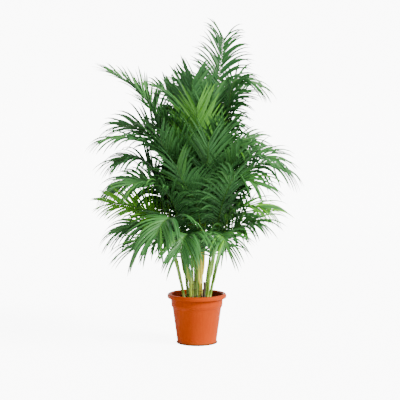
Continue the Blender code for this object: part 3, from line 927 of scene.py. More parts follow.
FRONDS = (
    # right side
    Frond("right", -70, 0.62, (0.250, -0.085, 0.500), 0.16, -10, -20, 18, 30, 0.195, 0.8, 0.45),
    Frond("right", 70, 0.80, (0.375, 0.010, 0.695), 0.42, -32, 0, 14, 22, 0.185, 1.3, 0.20, 1.05),
    Frond("right", -20, 0.92, (0.325, -0.080, 0.745), 0.42, -15, -15, 20, 18, 0.185, 0.8, 0.25),
    Frond("right", 0, 1.00, (0.262, 0.020, 1.035), 0.60, -30, 0, 12, 35, 0.170, 0.9, 0.30),
    # back right
    Frond("back_right", 70, 0.62, (0.225, 0.235, 0.490), 0.22, -30, 45, 20, 0, 0.195, 0.7, 0.20),
    Frond("back_right", -70, 0.80, (0.300, 0.130, 0.780), 0.40, 0, 20, 22, 15, 0.180, 0.5, 0.25),
    Frond("back_right", -20, 0.92, (0.140, 0.300, 0.650), 0.34, -25, 65, 20, 0, 0.190, 0.7, 0.20),
    Frond("back_right", 0, 1.00, (0.240, 0.090, 0.830), 0.40, 5, 30, 24, 30, 0.165, 0.6, 0.35),
    # back
    Frond("back", 70, 0.62, (0.020, 0.335, 0.500), 0.22, -35, 90, 20, 0, 0.195, 0.7, 0.20),
    Frond("back", -70, 0.80, (0.100, 0.325, 0.800), 0.40, -15, 75, 25, 0, 0.190, 0.6, 0.20),
    Frond("back", 0, 1.00, (-0.050, 0.250, 1.060), 0.48, 5, 100, 30, 0, 0.180, 0.5, 0.25),
    # back left
    Frond("back_left", -70, 0.62, (-0.225, 0.235, 0.450), 0.20, -30, 135, 20, 0, 0.195, 0.7, 0.20),
    Frond("back_left", 70, 0.80, (-0.368, 0.095, 0.612), 0.40, -40, 165, 16, -30, 0.185, 1.1, 0.10, 1.15),
    Frond("back_left", 20, 0.92, (-0.140, 0.300, 0.640), 0.34, -25, 115, 20, 0, 0.190, 0.7, 0.20),
    Frond("back_left", 0, 1.00, (-0.325, 0.105, 0.880), 0.42, 0, 165, 30, -30, 0.190, 0.6, 0.25),
    # left
    Frond("left", -70, 0.62, (-0.325, -0.010, 0.450), 0.25, -32, 180, 20, -25, 0.190, 0.9, 0.30, 1.1),
    Frond("left", 90, 0.80, (-0.350, -0.070, 0.572), 0.24, 5, 190, 15, -42, 0.150, 0.4, 0.85, 1.0, 0.70),
    Frond("left", 20, 0.92, (-0.325, -0.080, 0.740), 0.38, -18, 195, 20, -15, 0.190, 0.9, 0.25, 1.1),
    Frond("left", 0, 1.00, (-0.335, 0.000, 1.085), 0.46, 26, 180, 30, -12, 0.185, 0.35, 0.40, 1.1, 0.85),
    # front left
    Frond("front_left", 70, 0.62, (-0.235, -0.240, 0.410), 0.20, -42, 222, 15, 0, 0.215, 0.8, 0.40, 1.1),
    Frond("front_left", -70, 0.80, (-0.260, -0.190, 0.650), 0.34, -15, 215, 25, -20, 0.195, 0.6, 0.35),
    Frond("front_left", -20, 0.92, (-0.150, -0.280, 0.460), 0.28, -62, 244, 18, 0, 0.215, 0.9, 0.35),
    Frond("front_left", 0, 1.00, (-0.360, -0.125, 0.825), 0.42, -12, 200, 20, -12, 0.185, 0.8, 0.35, 1.1),
    # front
    Frond("front", -70, 0.62, (-0.060, -0.300, 0.410), 0.22, -68, 262, 15, 0, 0.220, 0.9, 0.40),
    Frond("front", 70, 0.80, (0.045, -0.205, 0.815), 0.38, 68, 278, 26, 0, 0.195, 0.4, 0.45),
    Frond("front", -20, 0.92, (-0.075, -0.225, 0.725), 0.34, 62, 250, 22, 0, 0.195, 0.5, 0.45),
    Frond("front", 0, 1.00, (0.000, -0.170, 0.945), 0.36, 70, 270, 35, 0, 0.200, 0.2, 1.0, 1.05),
    # front right
    Frond("front_right", -70, 0.62, (0.110, -0.285, 0.420), 0.20, -62, 290, 15, 0, 0.185, 0.9, 0.45),
    Frond("front_right", 70, 0.80, (0.285, -0.130, 0.550), 0.28, -18, 335, 22, 18, 0.180, 0.7, 0.65),
    Frond("front_right", -20, 0.92, (0.145, -0.215, 0.700), 0.34, 55, 302, 22, 0, 0.195, 0.6, 0.42),
    Frond("front_right", 0, 1.00, (0.240, -0.170, 0.650), 0.34, -30, 325, 25, 20, 0.195, 0.7, 0.45),
    # heart of the clump
    Frond("heart_right", 70, 0.75, (0.205, 0.130, 1.035), 0.48, 20, 40, 30, 20, 0.190, 0.6, 0.25),
    Frond("heart_right", -70, 0.90, (0.180, -0.120, 0.800), 0.36, 5, 330, 26, 20, 0.185, 0.6, 0.35),
    Frond("heart_right", 0, 1.00, (0.108, 0.045, 1.235), 0.40, 84, 90, 16, 0, 0.185, 0.9, 0.12, 0.85, 0.85),
    Frond("heart_back", 70, 0.75, (-0.175, 0.130, 1.050), 0.48, 20, 150, 32, -20, 0.185, 0.5, 0.30),
    Frond("heart_back", -70, 0.90, (0.055, 0.220, 0.960), 0.42, 15, 80, 30, 0, 0.185, 0.5, 0.15),
    Frond("heart_back", 0, 1.00, (-0.010, 0.150, 1.090), 0.40, 60, 95, 30, 0, 0.175, 0.4, 0.30),
    Frond("heart_left", 70, 0.75, (-0.200, -0.100, 0.960), 0.42, 40, 205, 30, -10, 0.190, 0.4, 0.45),
    Frond("heart_left", -70, 0.90, (-0.190, 0.050, 0.880), 0.38, 20, 170, 30, -20, 0.190, 0.5, 0.30),
    Frond("heart_left", 0, 1.00, (-0.018, -0.020, 1.060), 0.36, 80, 265, 30, 0, 0.200, 0.3, 0.15, 1.3),
    Frond("heart_front", 60, 0.60, (0.110, -0.170, 0.870), 0.38, 45, 300, 30, 0, 0.190, 0.4, 0.40),
    Frond("heart_front", 0, 1.00, (0.065, -0.070, 1.000), 0.40, 60, 310, 30, 0, 0.185, 0.3, 0.45),
    Frond("heart_front", -70, 0.80, (-0.090, -0.200, 0.830), 0.34, 35, 245, 30, 0, 0.190, 0.4, 0.50),
    Frond("heart_front", 180, 0.92, (-0.140, -0.195, 0.830), 0.40, 60, 235, 26, 0, 0.190, 0.4, 0.40),
    Frond("heart_right", -130, 0.60, (0.165, -0.190, 0.780), 0.34, 50, 308, 24, 0, 0.190, 0.5, 0.38),
)


def frond_node(number: int) -> str:
    """Names a frond's CAD node from its cane and its place on it, counted from the lowest.

    Args:
        number: The frond's index in FRONDS.

    Returns:
        The node's name.
    """
    cane = FRONDS[number].cane
    place = sum(frond.cane == cane for frond in FRONDS[: number + 1])
    return f"frond_{cane}_{place}"


class Spine:
    """A frond's centre line, with its blade's directions."""

    SAMPLES = 96

    def __init__(self, frond: Frond) -> None:
        """Samples the frond's cubic.

        Args:
            frond: The frond.
        """
        self.frond = frond
        self._controls = frond.controls()
        steps = [self.at(i / self.SAMPLES)[0] for i in range(self.SAMPLES + 1)]
        self._walked = [0.0]
        for first, second in zip(steps, steps[1:]):
            self._walked.append(self._walked[-1] + (second - first).length)

    def at(self, t: float) -> tuple[Vector, Vector, Vector, Vector]:
        """Finds a point of the centre line.

        Args:
            t: The cubic's parameter, 0 at the seat and 1 at the tip.

        Returns:
            The point, the direction, the sideways direction and the way the upper side faces.
        """
        p0, p1, p2, p3 = self._controls
        s = 1.0 - t
        point = p0 * s**3 + p1 * (3 * s * s * t) + p2 * (3 * s * t * t) + p3 * t**3
        slope = (p1 - p0) * (s * s) + (p2 - p1) * (2 * s * t) + (p3 - p2) * (t * t)
        direction = slope.normalized()
        side = across(polar(self.frond.face + 90.0, 1.0, 0.0), direction)
        roll = math.radians(self.frond.roll)
        side = side * math.cos(roll) + direction.cross(side) * math.sin(roll)
        return point, direction, side, direction.cross(side)

    def length(self, start: float = 0.0, end: float = 1.0) -> float:
        """Measures the centre line between two parameters."""
        first = self._walked[round(start * self.SAMPLES)]
        return self._walked[round(end * self.SAMPLES)] - first

    def parameter(self, distance: float) -> float:
        """Finds the parameter at a distance from the seat.

        Args:
            distance: The distance along the centre line.

        Returns:
            The parameter, from 0 to 1.
        """
        for i in range(self.SAMPLES):
            if self._walked[i + 1] >= distance:
                step = self._walked[i + 1] - self._walked[i]
                return (i + (distance - self._walked[i]) / step) / self.SAMPLES
        return 1.0


# ---------------------------------------------------------------------------------------------
# Fronds
# ---------------------------------------------------------------------------------------------


class Leaflet(NamedTuple):
    """How one leaflet grows from the rachis."""

    foot: Vector
    direction: Vector
    width_way: Vector
    upper: Vector
    length: float
    half_width: float
    droop: float
    twist: float
    tone: float


@dataclass
class FrondBuilder:
    """Builds one frond: a sheath round its cane, a petiole, a rachis and folded leaflets.

    The blade attribute holds, on the stalk, how far along it is, and on a leaflet how far
    along it is, how far across from -1 to 1, and how far it faces down, from 0 to 1.
    """

    number: int
    materials: Sequence
    spacing: float = 0.0122
    width_share: float = 0.078
    fold: float = 24.0
    midrib_half: float = 0.00035
    stations: tuple = (0.0, 0.07, 0.19, 0.34, 0.50, 0.66, 0.82, 1.0)
    spread_scatter: float = 3.5
    lift_scatter: float = 6.0
    twist_scatter: float = 9.0
    tone_scatter: float = 0.13
    length_range: tuple = (0.88, 1.06)
    width_range: tuple = (0.9, 1.1)
    droop_range: tuple = (0.75, 1.3)
    stagger: float = 0.25
    stagger_scatter: float = 0.12
    first_leaflet: float = 0.55
    stalk_sides: int = 8
    sheath_rings: tuple = ((1.0, 0.3), (0.75, 1.0), (0.45, 1.2), (0.15, 1.4))
    sheath_length: float = 0.075
    sheath_wall: float = 0.0007
    sheath_end: float = 0.12
    clasp_fade: float = 16.0
    petiole_rings: int = 9
    petiole_swell: float = 1.15
    petiole_end: float = 0.45
    rachis_rings: int = 18
    rachis_tip: float = 0.0019
    rachis_taper: float = 0.8
    chance: random.Random = field(init=False)
    frond: Frond = field(init=False)
    spine: Spine = field(init=False)

    def __post_init__(self) -> None:
        """Finds the frond and its centre line."""
        self.chance = random.Random(100 + self.number)
        self.frond = FRONDS[self.number]
        self.spine = Spine(self.frond)

    def build(self) -> bpy.types.Object:
        """Builds the frond.

        Returns:
            The piece.
        """
        bm = bmesh.new()
        bm.verts.layers.float_vector.new("blade")
        bm.verts.layers.float.new("tone")
        bm.faces.layers.int.new("leaflet")
        grow_tube(bm, self._stalk_sections(), CANES[self.frond.cane].tone, 1)
        self._grow_leaflets(bm, list(self._leaflets()))
        bmesh.ops.recalc_face_normals(bm, faces=bm.faces)
        return finished(f"{frond_node(self.number)}_leaf", bm, self.materials, 30.0)

    def _ring(self, place: tuple, half_width: float, half_depth: float, along: float) -> Section:
        """Makes one ring of the stalk, flatter on its upper side.

        Args:
            place: The point, direction, side and up there.
            half_width: Half its width.
            half_depth: Half its depth.
            along: The share of the stalk's length, for its colour.

        Returns:
            The ring.
        """
        point, _, side, up = place
        corners = []
        for i in range(self.stalk_sides):
            turn = 2.0 * math.pi * (i + 0.5) / self.stalk_sides
            rise = math.sin(turn) * half_depth * (0.6 if math.sin(turn) > 0.0 else 1.0)
            corners.append(point + side * (math.cos(turn) * half_width) + up * rise)
        return Section(corners, (along, 0.0, 0.0))

    def _sheath_sections(self) -> Iterator[Section]:
        """Makes the rings that clasp the cane below the seat and leave it above.

        Returns:
            The rings, from the lowest up.
        """
        cane = CANES[self.frond.cane]
        foot, top = cane.ends()
        axis = cane.axis()
        middle = foot.lerp(top, self.frond.seat)
        _, direction, side, up = self.spine.at(0.0)
        for drop, wrap in self.sheath_rings:
            radius = cane.radius(self.frond.seat) + self.sheath_wall * wrap
            centre = middle - axis * (self.sheath_length * drop)
            corners = self._ring((centre, direction, side, up), radius, radius, 0.0).corners
            lifted = [self._rounded(corner, centre, axis, radius) for corner in corners]
            yield Section(lifted, (self.sheath_end * (1.0 - drop), 0.0, 0.0))

    @staticmethod
    def _rounded(corner: Vector, centre: Vector, axis: Vector, radius: float) -> Vector:
        """Puts a corner of a sheath's ring on a true circle round the cane."""
        return centre + across(corner - centre, axis) * radius

    def _stalk_sections(self) -> list[Section]:
        """Lists the stalk's rings: sheath, petiole and rachis.

        Returns:
            The rings, from the sheath's foot to the tip.
        """
        sections = list(self._sheath_sections())
        cane_radius = CANES[self.frond.cane].radius(self.frond.seat)
        for i in range(self.petiole_rings):
            share = i / self.petiole_rings
            t = PETIOLE_SHARE * share
            clasp = math.exp(-share * self.clasp_fade)
            point, direction, side, up = self.spine.at(t)
            if self.frond.side:
                foot, top = CANES[self.frond.cane].ends()
                nearest = foot.lerp(top, self.frond.seat)
                point = point.lerp(nearest + direction * (point - nearest).dot(direction), 0.5 * clasp)
            half = blend_values(PETIOLE_HALF * self.petiole_swell, cane_radius + self.sheath_wall, clasp)
            along = blend_values(self.sheath_end, self.petiole_end, share)
            sections.append(self._ring((point, direction, side, up), half, half, along))
        for i in range(self.rachis_rings + 1):
            share = i / self.rachis_rings
            place = self.spine.at(blend_values(PETIOLE_SHARE, 1.0, share))
            half = self._rachis_half(share)
            along = blend_values(self.petiole_end, 1.0, share)
            sections.append(self._ring(place, half, half * 1.1, along))
        return sections

    def _rachis_half(self, share: float) -> float:
        """Gives half the rachis' width at a share of the blade."""
        return blend_values(PETIOLE_HALF, self.rachis_tip, share**self.rachis_taper)

    def _leaflets(self) -> Iterator[Leaflet]:
        """Plans the leaflets of both sides, from the blade's foot to its tip.

        Returns:
            The leaflets, in pairs.
        """
        start = self.spine.length(0.0, PETIOLE_SHARE)
        blade = self.spine.length() - start
        count = max(4, round(blade / (self.spacing * self.frond.gap)))
        for i in range(count):
            for hand in (1.0, -1.0):
                shift = self.stagger * hand
                shift += self.chance.uniform(-self.stagger_scatter, self.stagger_scatter)
                share = min(1.0, max(0.0, (i + 0.5 + shift) / count))
                yield self._leaflet(start + blade * share, share, hand)

    def _leaflet(self, distance: float, share: float, hand: float) -> Leaflet:
        """Plans one leaflet.

        Args:
            distance: How far from the seat it grows.
            share: The same as a share of the blade.
            hand: 1 or -1, for the blade's two sides.

        Returns:
            The leaflet.
        """
        frond, chance = self.frond, self.chance
        point, direction, side, up = self.spine.at(self.spine.parameter(distance))
        spread = blend_values(BASE_SPREAD, TIP_SPREAD, share) + chance.gauss(0.0, self.spread_scatter)
        spread = math.radians(spread)
        lift = frond.lift * blend_values(1.25, 0.6, share) + chance.gauss(0.0, self.lift_scatter)
        lift = math.radians(lift)
        outward = side * (hand * math.cos(lift)) + up * math.sin(lift)
        way = direction * math.cos(spread) + outward * math.sin(spread)
        size = 1.0 - LEAFLET_TAPER * (share - LEAFLET_LONGEST) ** 2
        size *= blend_values(self.first_leaflet, 1.0, smooth_step(0.0, 0.12, share))
        length = frond.leaf * size * chance.uniform(*self.length_range)
        width = frond.leaf * self.width_share * frond.breadth * size**0.7
        width *= chance.uniform(*self.width_range)
        half_rachis = self._rachis_half(share)
        tone = frond.tone + 0.10 * (share - 0.5) + chance.gauss(0.0, self.tone_scatter)
        return Leaflet(
            foot=point + side * (hand * half_rachis * 0.6) + up * (half_rachis * 0.2),
            direction=way,
            width_way=across(direction, way),
            upper=up,
            length=length,
            half_width=width / 2.0,
            droop=frond.droop * chance.uniform(*self.droop_range),
            twist=math.radians(chance.gauss(0.0, self.twist_scatter)),
            tone=min(1.0, max(0.0, tone)),
        )

    def _leaflet_sections(self, leaflet: Leaflet) -> list[Section]:
        """Lists a leaflet's rings, each one edge, upper midrib, other edge and lower midrib.

        Args:
            leaflet: The leaflet.

        Returns:
            The rings from its foot to its tip.
        """
        sections = []
        point, direction, width_way = leaflet.foot.copy(), leaflet.direction.copy(), leaflet.width_way
        before = 0.0
        flip = 1.0 if width_way.cross(direction).dot(leaflet.upper) > 0.0 else -1.0
        for share in self.stations:
            step = share - before
            reach = math.sqrt(max(0.0, 1.0 - direction.z**2))
            bend = leaflet.droop * (0.35 + 1.5 * share) * step * (0.25 + reach)
            direction = (direction + DOWN * bend).normalized()
            point = point + direction * (leaflet.length * step)
            turned = Matrix.Rotation(leaflet.twist * step, 3, direction) @ width_way
            width_way = across(turned, direction)
            normal = width_way.cross(direction) * flip
            half = leaflet.half_width * self._outline(share)
            fold = math.radians(self.fold * blend_values(1.5, 0.5, share))
            out, drop = width_way * (half * math.cos(fold)), normal * (half * math.sin(fold))
            rib = normal * (self.midrib_half * (1.0 - 0.7 * share))
            corners = [point - out - drop, point + rib, point + out - drop, point - rib]
            if share == 1.0:
                corners = [point] * 4
            sections.append(Section(corners, (share, 0.0, 0.0)))
            before = share
        return sections

    @staticmethod
    def _outline(share: float) -> float:
        """Gives a leaflet's width at a share of its length, where its widest is nearly 1.

        Args:
            share: The share of its length.

        Returns:
            The width.
        """
        rise = smooth_step(-0.42, 0.24, share)
        taper = max(0.0, 1.0 - share**2.2) ** 0.8
        return rise * taper

    def _grow_leaflets(self, bm: bmesh.types.BMesh, leaflets: Sequence[Leaflet]) -> None:
        """Grows all leaflets together, by extruding their first faces from ring to ring.

        Args:
            bm: The frond's mesh.
            leaflets: The leaflets' plans.
        """
        number = bm.faces.layers.int["leaflet"]
        blade_layer = bm.verts.layers.float_vector["blade"]
        tone_layer = bm.verts.layers.float["tone"]
        rings = [self._leaflet_sections(leaflet) for leaflet in leaflets]
        faces = []
        for i, ring in enumerate(rings):
            face = bm.faces.new([bm.verts.new(corner) for corner in ring[0].corners])
            face[number] = i
            faces.append(face)
        feet = [edge for face in faces for edge in face.edges]
        marks = ((-1.0, 0.5), (0.0, 0.0), (1.0, 0.5), (0.0, 1.0))
        for k in range(len(self.stations)):
            if k:
                faces = bmesh.ops.extrude_discrete_faces(bm, faces=faces)["faces"]
            for face in faces:
                section = rings[face[number]][k]
                for corner, place, (sideways, under) in zip(face.verts, section.corners, marks):
                    corner.co = place
                    corner[blade_layer] = (section.blade[0], sideways, under)
                    corner[tone_layer] = leaflets[face[number]].tone
        ends = [corner for face in faces for corner in face.verts]
        bmesh.ops.remove_doubles(bm, verts=ends, dist=WELD)
        bmesh.ops.holes_fill(bm, edges=feet, sides=4)


# ---------------------------------------------------------------------------------------------
# Canes, soil and pot
# ---------------------------------------------------------------------------------------------


@dataclass
class CaneBuilder:
    """Builds one cane: a tapered stem with leaf scars and a swollen foot in the soil.

    The blade attribute holds how far up the cane it is, and how much of a scar.
    """

    name: str
    materials: Sequence
    sides: int = 14
    ring_gap: float = 0.030
    scar_height: float = 0.0016
    scar_rise: float = 0.0007
    foot_swell: float = 0.0016
    top_round: float = 0.002
    top_share: float = 0.8
    sway: float = 0.0006
    roughness: float = 0.03
    chance: random.Random = field(init=False)

    def __post_init__(self) -> None:
        """Seeds the cane by its name."""
        self.chance = random.Random(sum(map(ord, self.name)))

    def build(self) -> bpy.types.Object:
        """Builds the cane.

        Returns:
            The piece.
        """
        bm = bmesh.new()
        bm.verts.layers.float_vector.new("blade")
        bm.verts.layers.float.new("tone")
        grow_tube(bm, list(self._sections()), CANES[self.name].tone, 0)
        bmesh.ops.recalc_face_normals(bm, faces=bm.faces)
        return finished(f"{self.name}_stem", bm, self.materials, 50.0)

    def _heights(self) -> list[tuple[float, float]]:
        """Lists the rings' distances from the foot, each with how much of a scar it is.

        Returns:
            The pairs, from the foot up.
        """
        foot, top = CANES[self.name].ends()
        length = (top - foot).length
        rings = [(0.0, 0.0)]
        at = self.ring_gap
        while at < length - self.ring_gap * 0.4:
            rings += [
                (at - 3.0 * self.scar_height, 0.0),
                (at - self.scar_height, 0.15),
                (at, 1.0),
                (at + 0.8 * self.scar_height, 0.9),
                (at + 1.6 * self.scar_height, 0.0),
            ]
            at += self.ring_gap * self.chance.uniform(0.75, 1.30)
        return [*rings, (length - self.top_round, 0.0), (length, 0.0)]

    def _sections(self) -> Iterator[Section]:
        """Makes the cane's rings from its foot to its top.

        Returns:
            The rings.
        """
        cane = CANES[self.name]
        foot, top = cane.ends()
        axis, length = cane.axis(), (top - foot).length
        side = across(UP.cross(axis), axis)
        front = axis.cross(side)
        for at, scar in self._heights():
            radius = cane.radius(at / length) + self.scar_rise * scar
            radius += self.foot_swell * (1.0 - smooth_step(0.030, 0.075, at))
            if at == length:
                radius *= self.top_share
            sway = noise.noise(Vector((at * 22.0, cane.azimuth, 0.0))) * self.sway
            centre = foot + axis * at + Vector((sway, 0.0, 0.0))
            corners = []
            for i in range(self.sides):
                turn = 2.0 * math.pi * i / self.sides
                rough = 1.0 + self.roughness * noise.noise(Vector((turn, at * 60.0, cane.azimuth)))
                out = side * math.cos(turn) + front * math.sin(turn)
                corners.append(centre + out * (radius * rough))
            yield Section(corners, (at / length, scar, 0.0))


@dataclass
class HuskBuilder:
    """Builds the dry husks that curl away from the canes' feet."""

    materials: Sequence
    canes: tuple = ("right", "back_left", "left", "front_left", "front", "front_right", "stub", "back")
    wrap: float = 150.0
    steps: int = 10
    rows: int = 7
    height: float = 0.060
    sunk: float = 0.004
    stand_off: float = 0.0022
    curl: float = 0.004
    wall: float = 0.0005
    seed: int = 7

    def build(self) -> bpy.types.Object:
        """Builds every husk as one piece.

        Returns:
            The piece.
        """
        chance = random.Random(self.seed)
        bm = bmesh.new()
        for name in self.canes:
            self._husk(bm, name, chance)
        bmesh.ops.recalc_face_normals(bm, faces=bm.faces)
        husks = finished("dry_husks", bm, self.materials, 60.0)
        wall = husks.modifiers.new("Wall", "SOLIDIFY")
        wall.thickness = self.wall
        wall.offset = 1.0
        return husks

    def _husk(self, bm: bmesh.types.BMesh, name: str, chance: random.Random) -> None:
        """Adds one husk: part of a tube round its cane, torn along its top.

        Args:
            bm: The husks' mesh.
            name: The cane's name.
            chance: The source of its irregularities.
        """
        cane = CANES[name]
        foot, _ = cane.ends()
        axis = cane.axis()
        side = across(UP.cross(axis), axis)
        front = axis.cross(side)
        start, height = chance.uniform(0.0, 360.0), self.height * chance.uniform(0.6, 1.1)
        base = SOIL_EDGE_Z - CANE_FOOT_Z - self.sunk
        grid = bmesh.ops.create_grid(bm, x_segments=self.steps, y_segments=self.rows, size=0.5)["verts"]
        for corner in grid:
            around, up = corner.co.x + 0.5, corner.co.y + 0.5
            ragged = abs(noise.noise(Vector((around * 5.0, start, 0.0))))
            tear = 1.0 - 0.45 * ragged - 0.5 * (around - 0.5) ** 2
            curl = self.curl * up**2 * (1.0 + abs(around - 0.5))
            turn = math.radians(start + self.wrap * (around - 0.5) * (1.0 - 0.3 * up))
            out = side * math.cos(turn) + front * math.sin(turn)
            reach = cane.radius(0.3) + self.stand_off + curl
            corner.co = foot + axis * (base + height * up * tear) + out * reach


@dataclass
class Soil:
    """The potting mix: a lumpy bed in the pot, with crumbs and bark on it."""

    materials: Sequence
    edge_radius: float = 0.1008
    collar_z: float = 0.1492
    shoulder: tuple = (0.0966, 0.1457)
    heel: tuple = (0.0774, 0.0070)
    toe_radius: float = 0.0806
    toe_top: float = 0.0050
    toe_bottom: float = 0.0026
    belly_z: float = 0.0055
    lump_height: float = 0.0022
    grain_height: float = 0.0010
    rings: int = 26
    steps: int = 96
    crumbs: int = 420
    crumb_sizes: tuple = (0.0008, 0.0022)
    crumb_shape: tuple = (1.0, 0.85, 0.75)
    chip_share: float = 0.25
    chip_sizes: tuple = (0.0022, 0.0038)
    chip_shape: tuple = (1.5, 0.8, 0.35)
    chip_tilt: float = 0.4
    edge_clearance: float = 0.004
    seed: int = 3

    def surface(self, x: float, y: float) -> float:
        """Gives the height of the soil's top at a place.

        Args:
            x: The place's X.
            y: The place's Y.

        Returns:
            The height.
        """
        share = min(1.0, math.hypot(x, y) / self.edge_radius)
        lump = noise.noise(Vector((x * 45.0, y * 45.0, 1.0))) * self.lump_height
        grain = noise.noise(Vector((x * 210.0, y * 210.0, 5.0))) * self.grain_height
        return blend_values(SOIL_CROWN_Z, SOIL_EDGE_Z, share**1.5) + (lump + grain) * (1.0 - share**8)

    def bed(self) -> bpy.types.Object:
        """Builds the bed.

        Returns:
            The piece.
        """
        bm = bmesh.new()
        top = [(self.edge_radius * i / self.rings, SOIL_EDGE_Z) for i in range(self.rings + 1)]
        sides = [
            (self.edge_radius - FIT_GAP, self.collar_z),
            self.shoulder,
            self.heel,
            (self.toe_radius, self.toe_top),
            (self.toe_radius, self.toe_bottom),
            (0.0, self.belly_z),
        ]
        spun(bm, [*top, *sides], self.steps)
        for corner in bm.verts:
            if corner.co.z > SOIL_EDGE_Z - WELD:
                corner.co.z = self.surface(corner.co.x, corner.co.y)
        return finished("soil_bed", bm, self.materials, 50.0)

    def loose(self) -> bpy.types.Object:
        """Builds the crumbs and bark chips as one piece.

        Returns:
            The piece.
        """
        chance = random.Random(self.seed)
        bm = bmesh.new()
        for _ in range(self.crumbs):
            azimuth = chance.uniform(0.0, 360.0)
            place = polar(azimuth, self.edge_radius * math.sqrt(chance.random()), 0.0)
            if place.length > self.edge_radius - self.edge_clearance:
                continue
            place.z = self.surface(place.x, place.y)
            chip = chance.random() < self.chip_share
            size = chance.uniform(*(self.chip_sizes if chip else self.crumb_sizes))
            verts = bmesh.ops.create_icosphere(bm, subdivisions=1, radius=size)["verts"]
            bmesh.ops.scale(bm, verts=verts, vec=self.chip_shape if chip else self.crumb_shape)
            tilt = Matrix.Rotation(chance.uniform(-self.chip_tilt, self.chip_tilt), 3, "X")
            turn = Matrix.Rotation(chance.uniform(0.0, math.pi), 3, "Z")
            bmesh.ops.rotate(bm, verts=verts, cent=(0.0, 0.0, 0.0), matrix=turn @ tilt)
            bmesh.ops.translate(bm, verts=verts, vec=place + Vector((0.0, 0.0, size * 0.25)))
        return finished("soil_crumbs", bm, self.materials, 30.0)


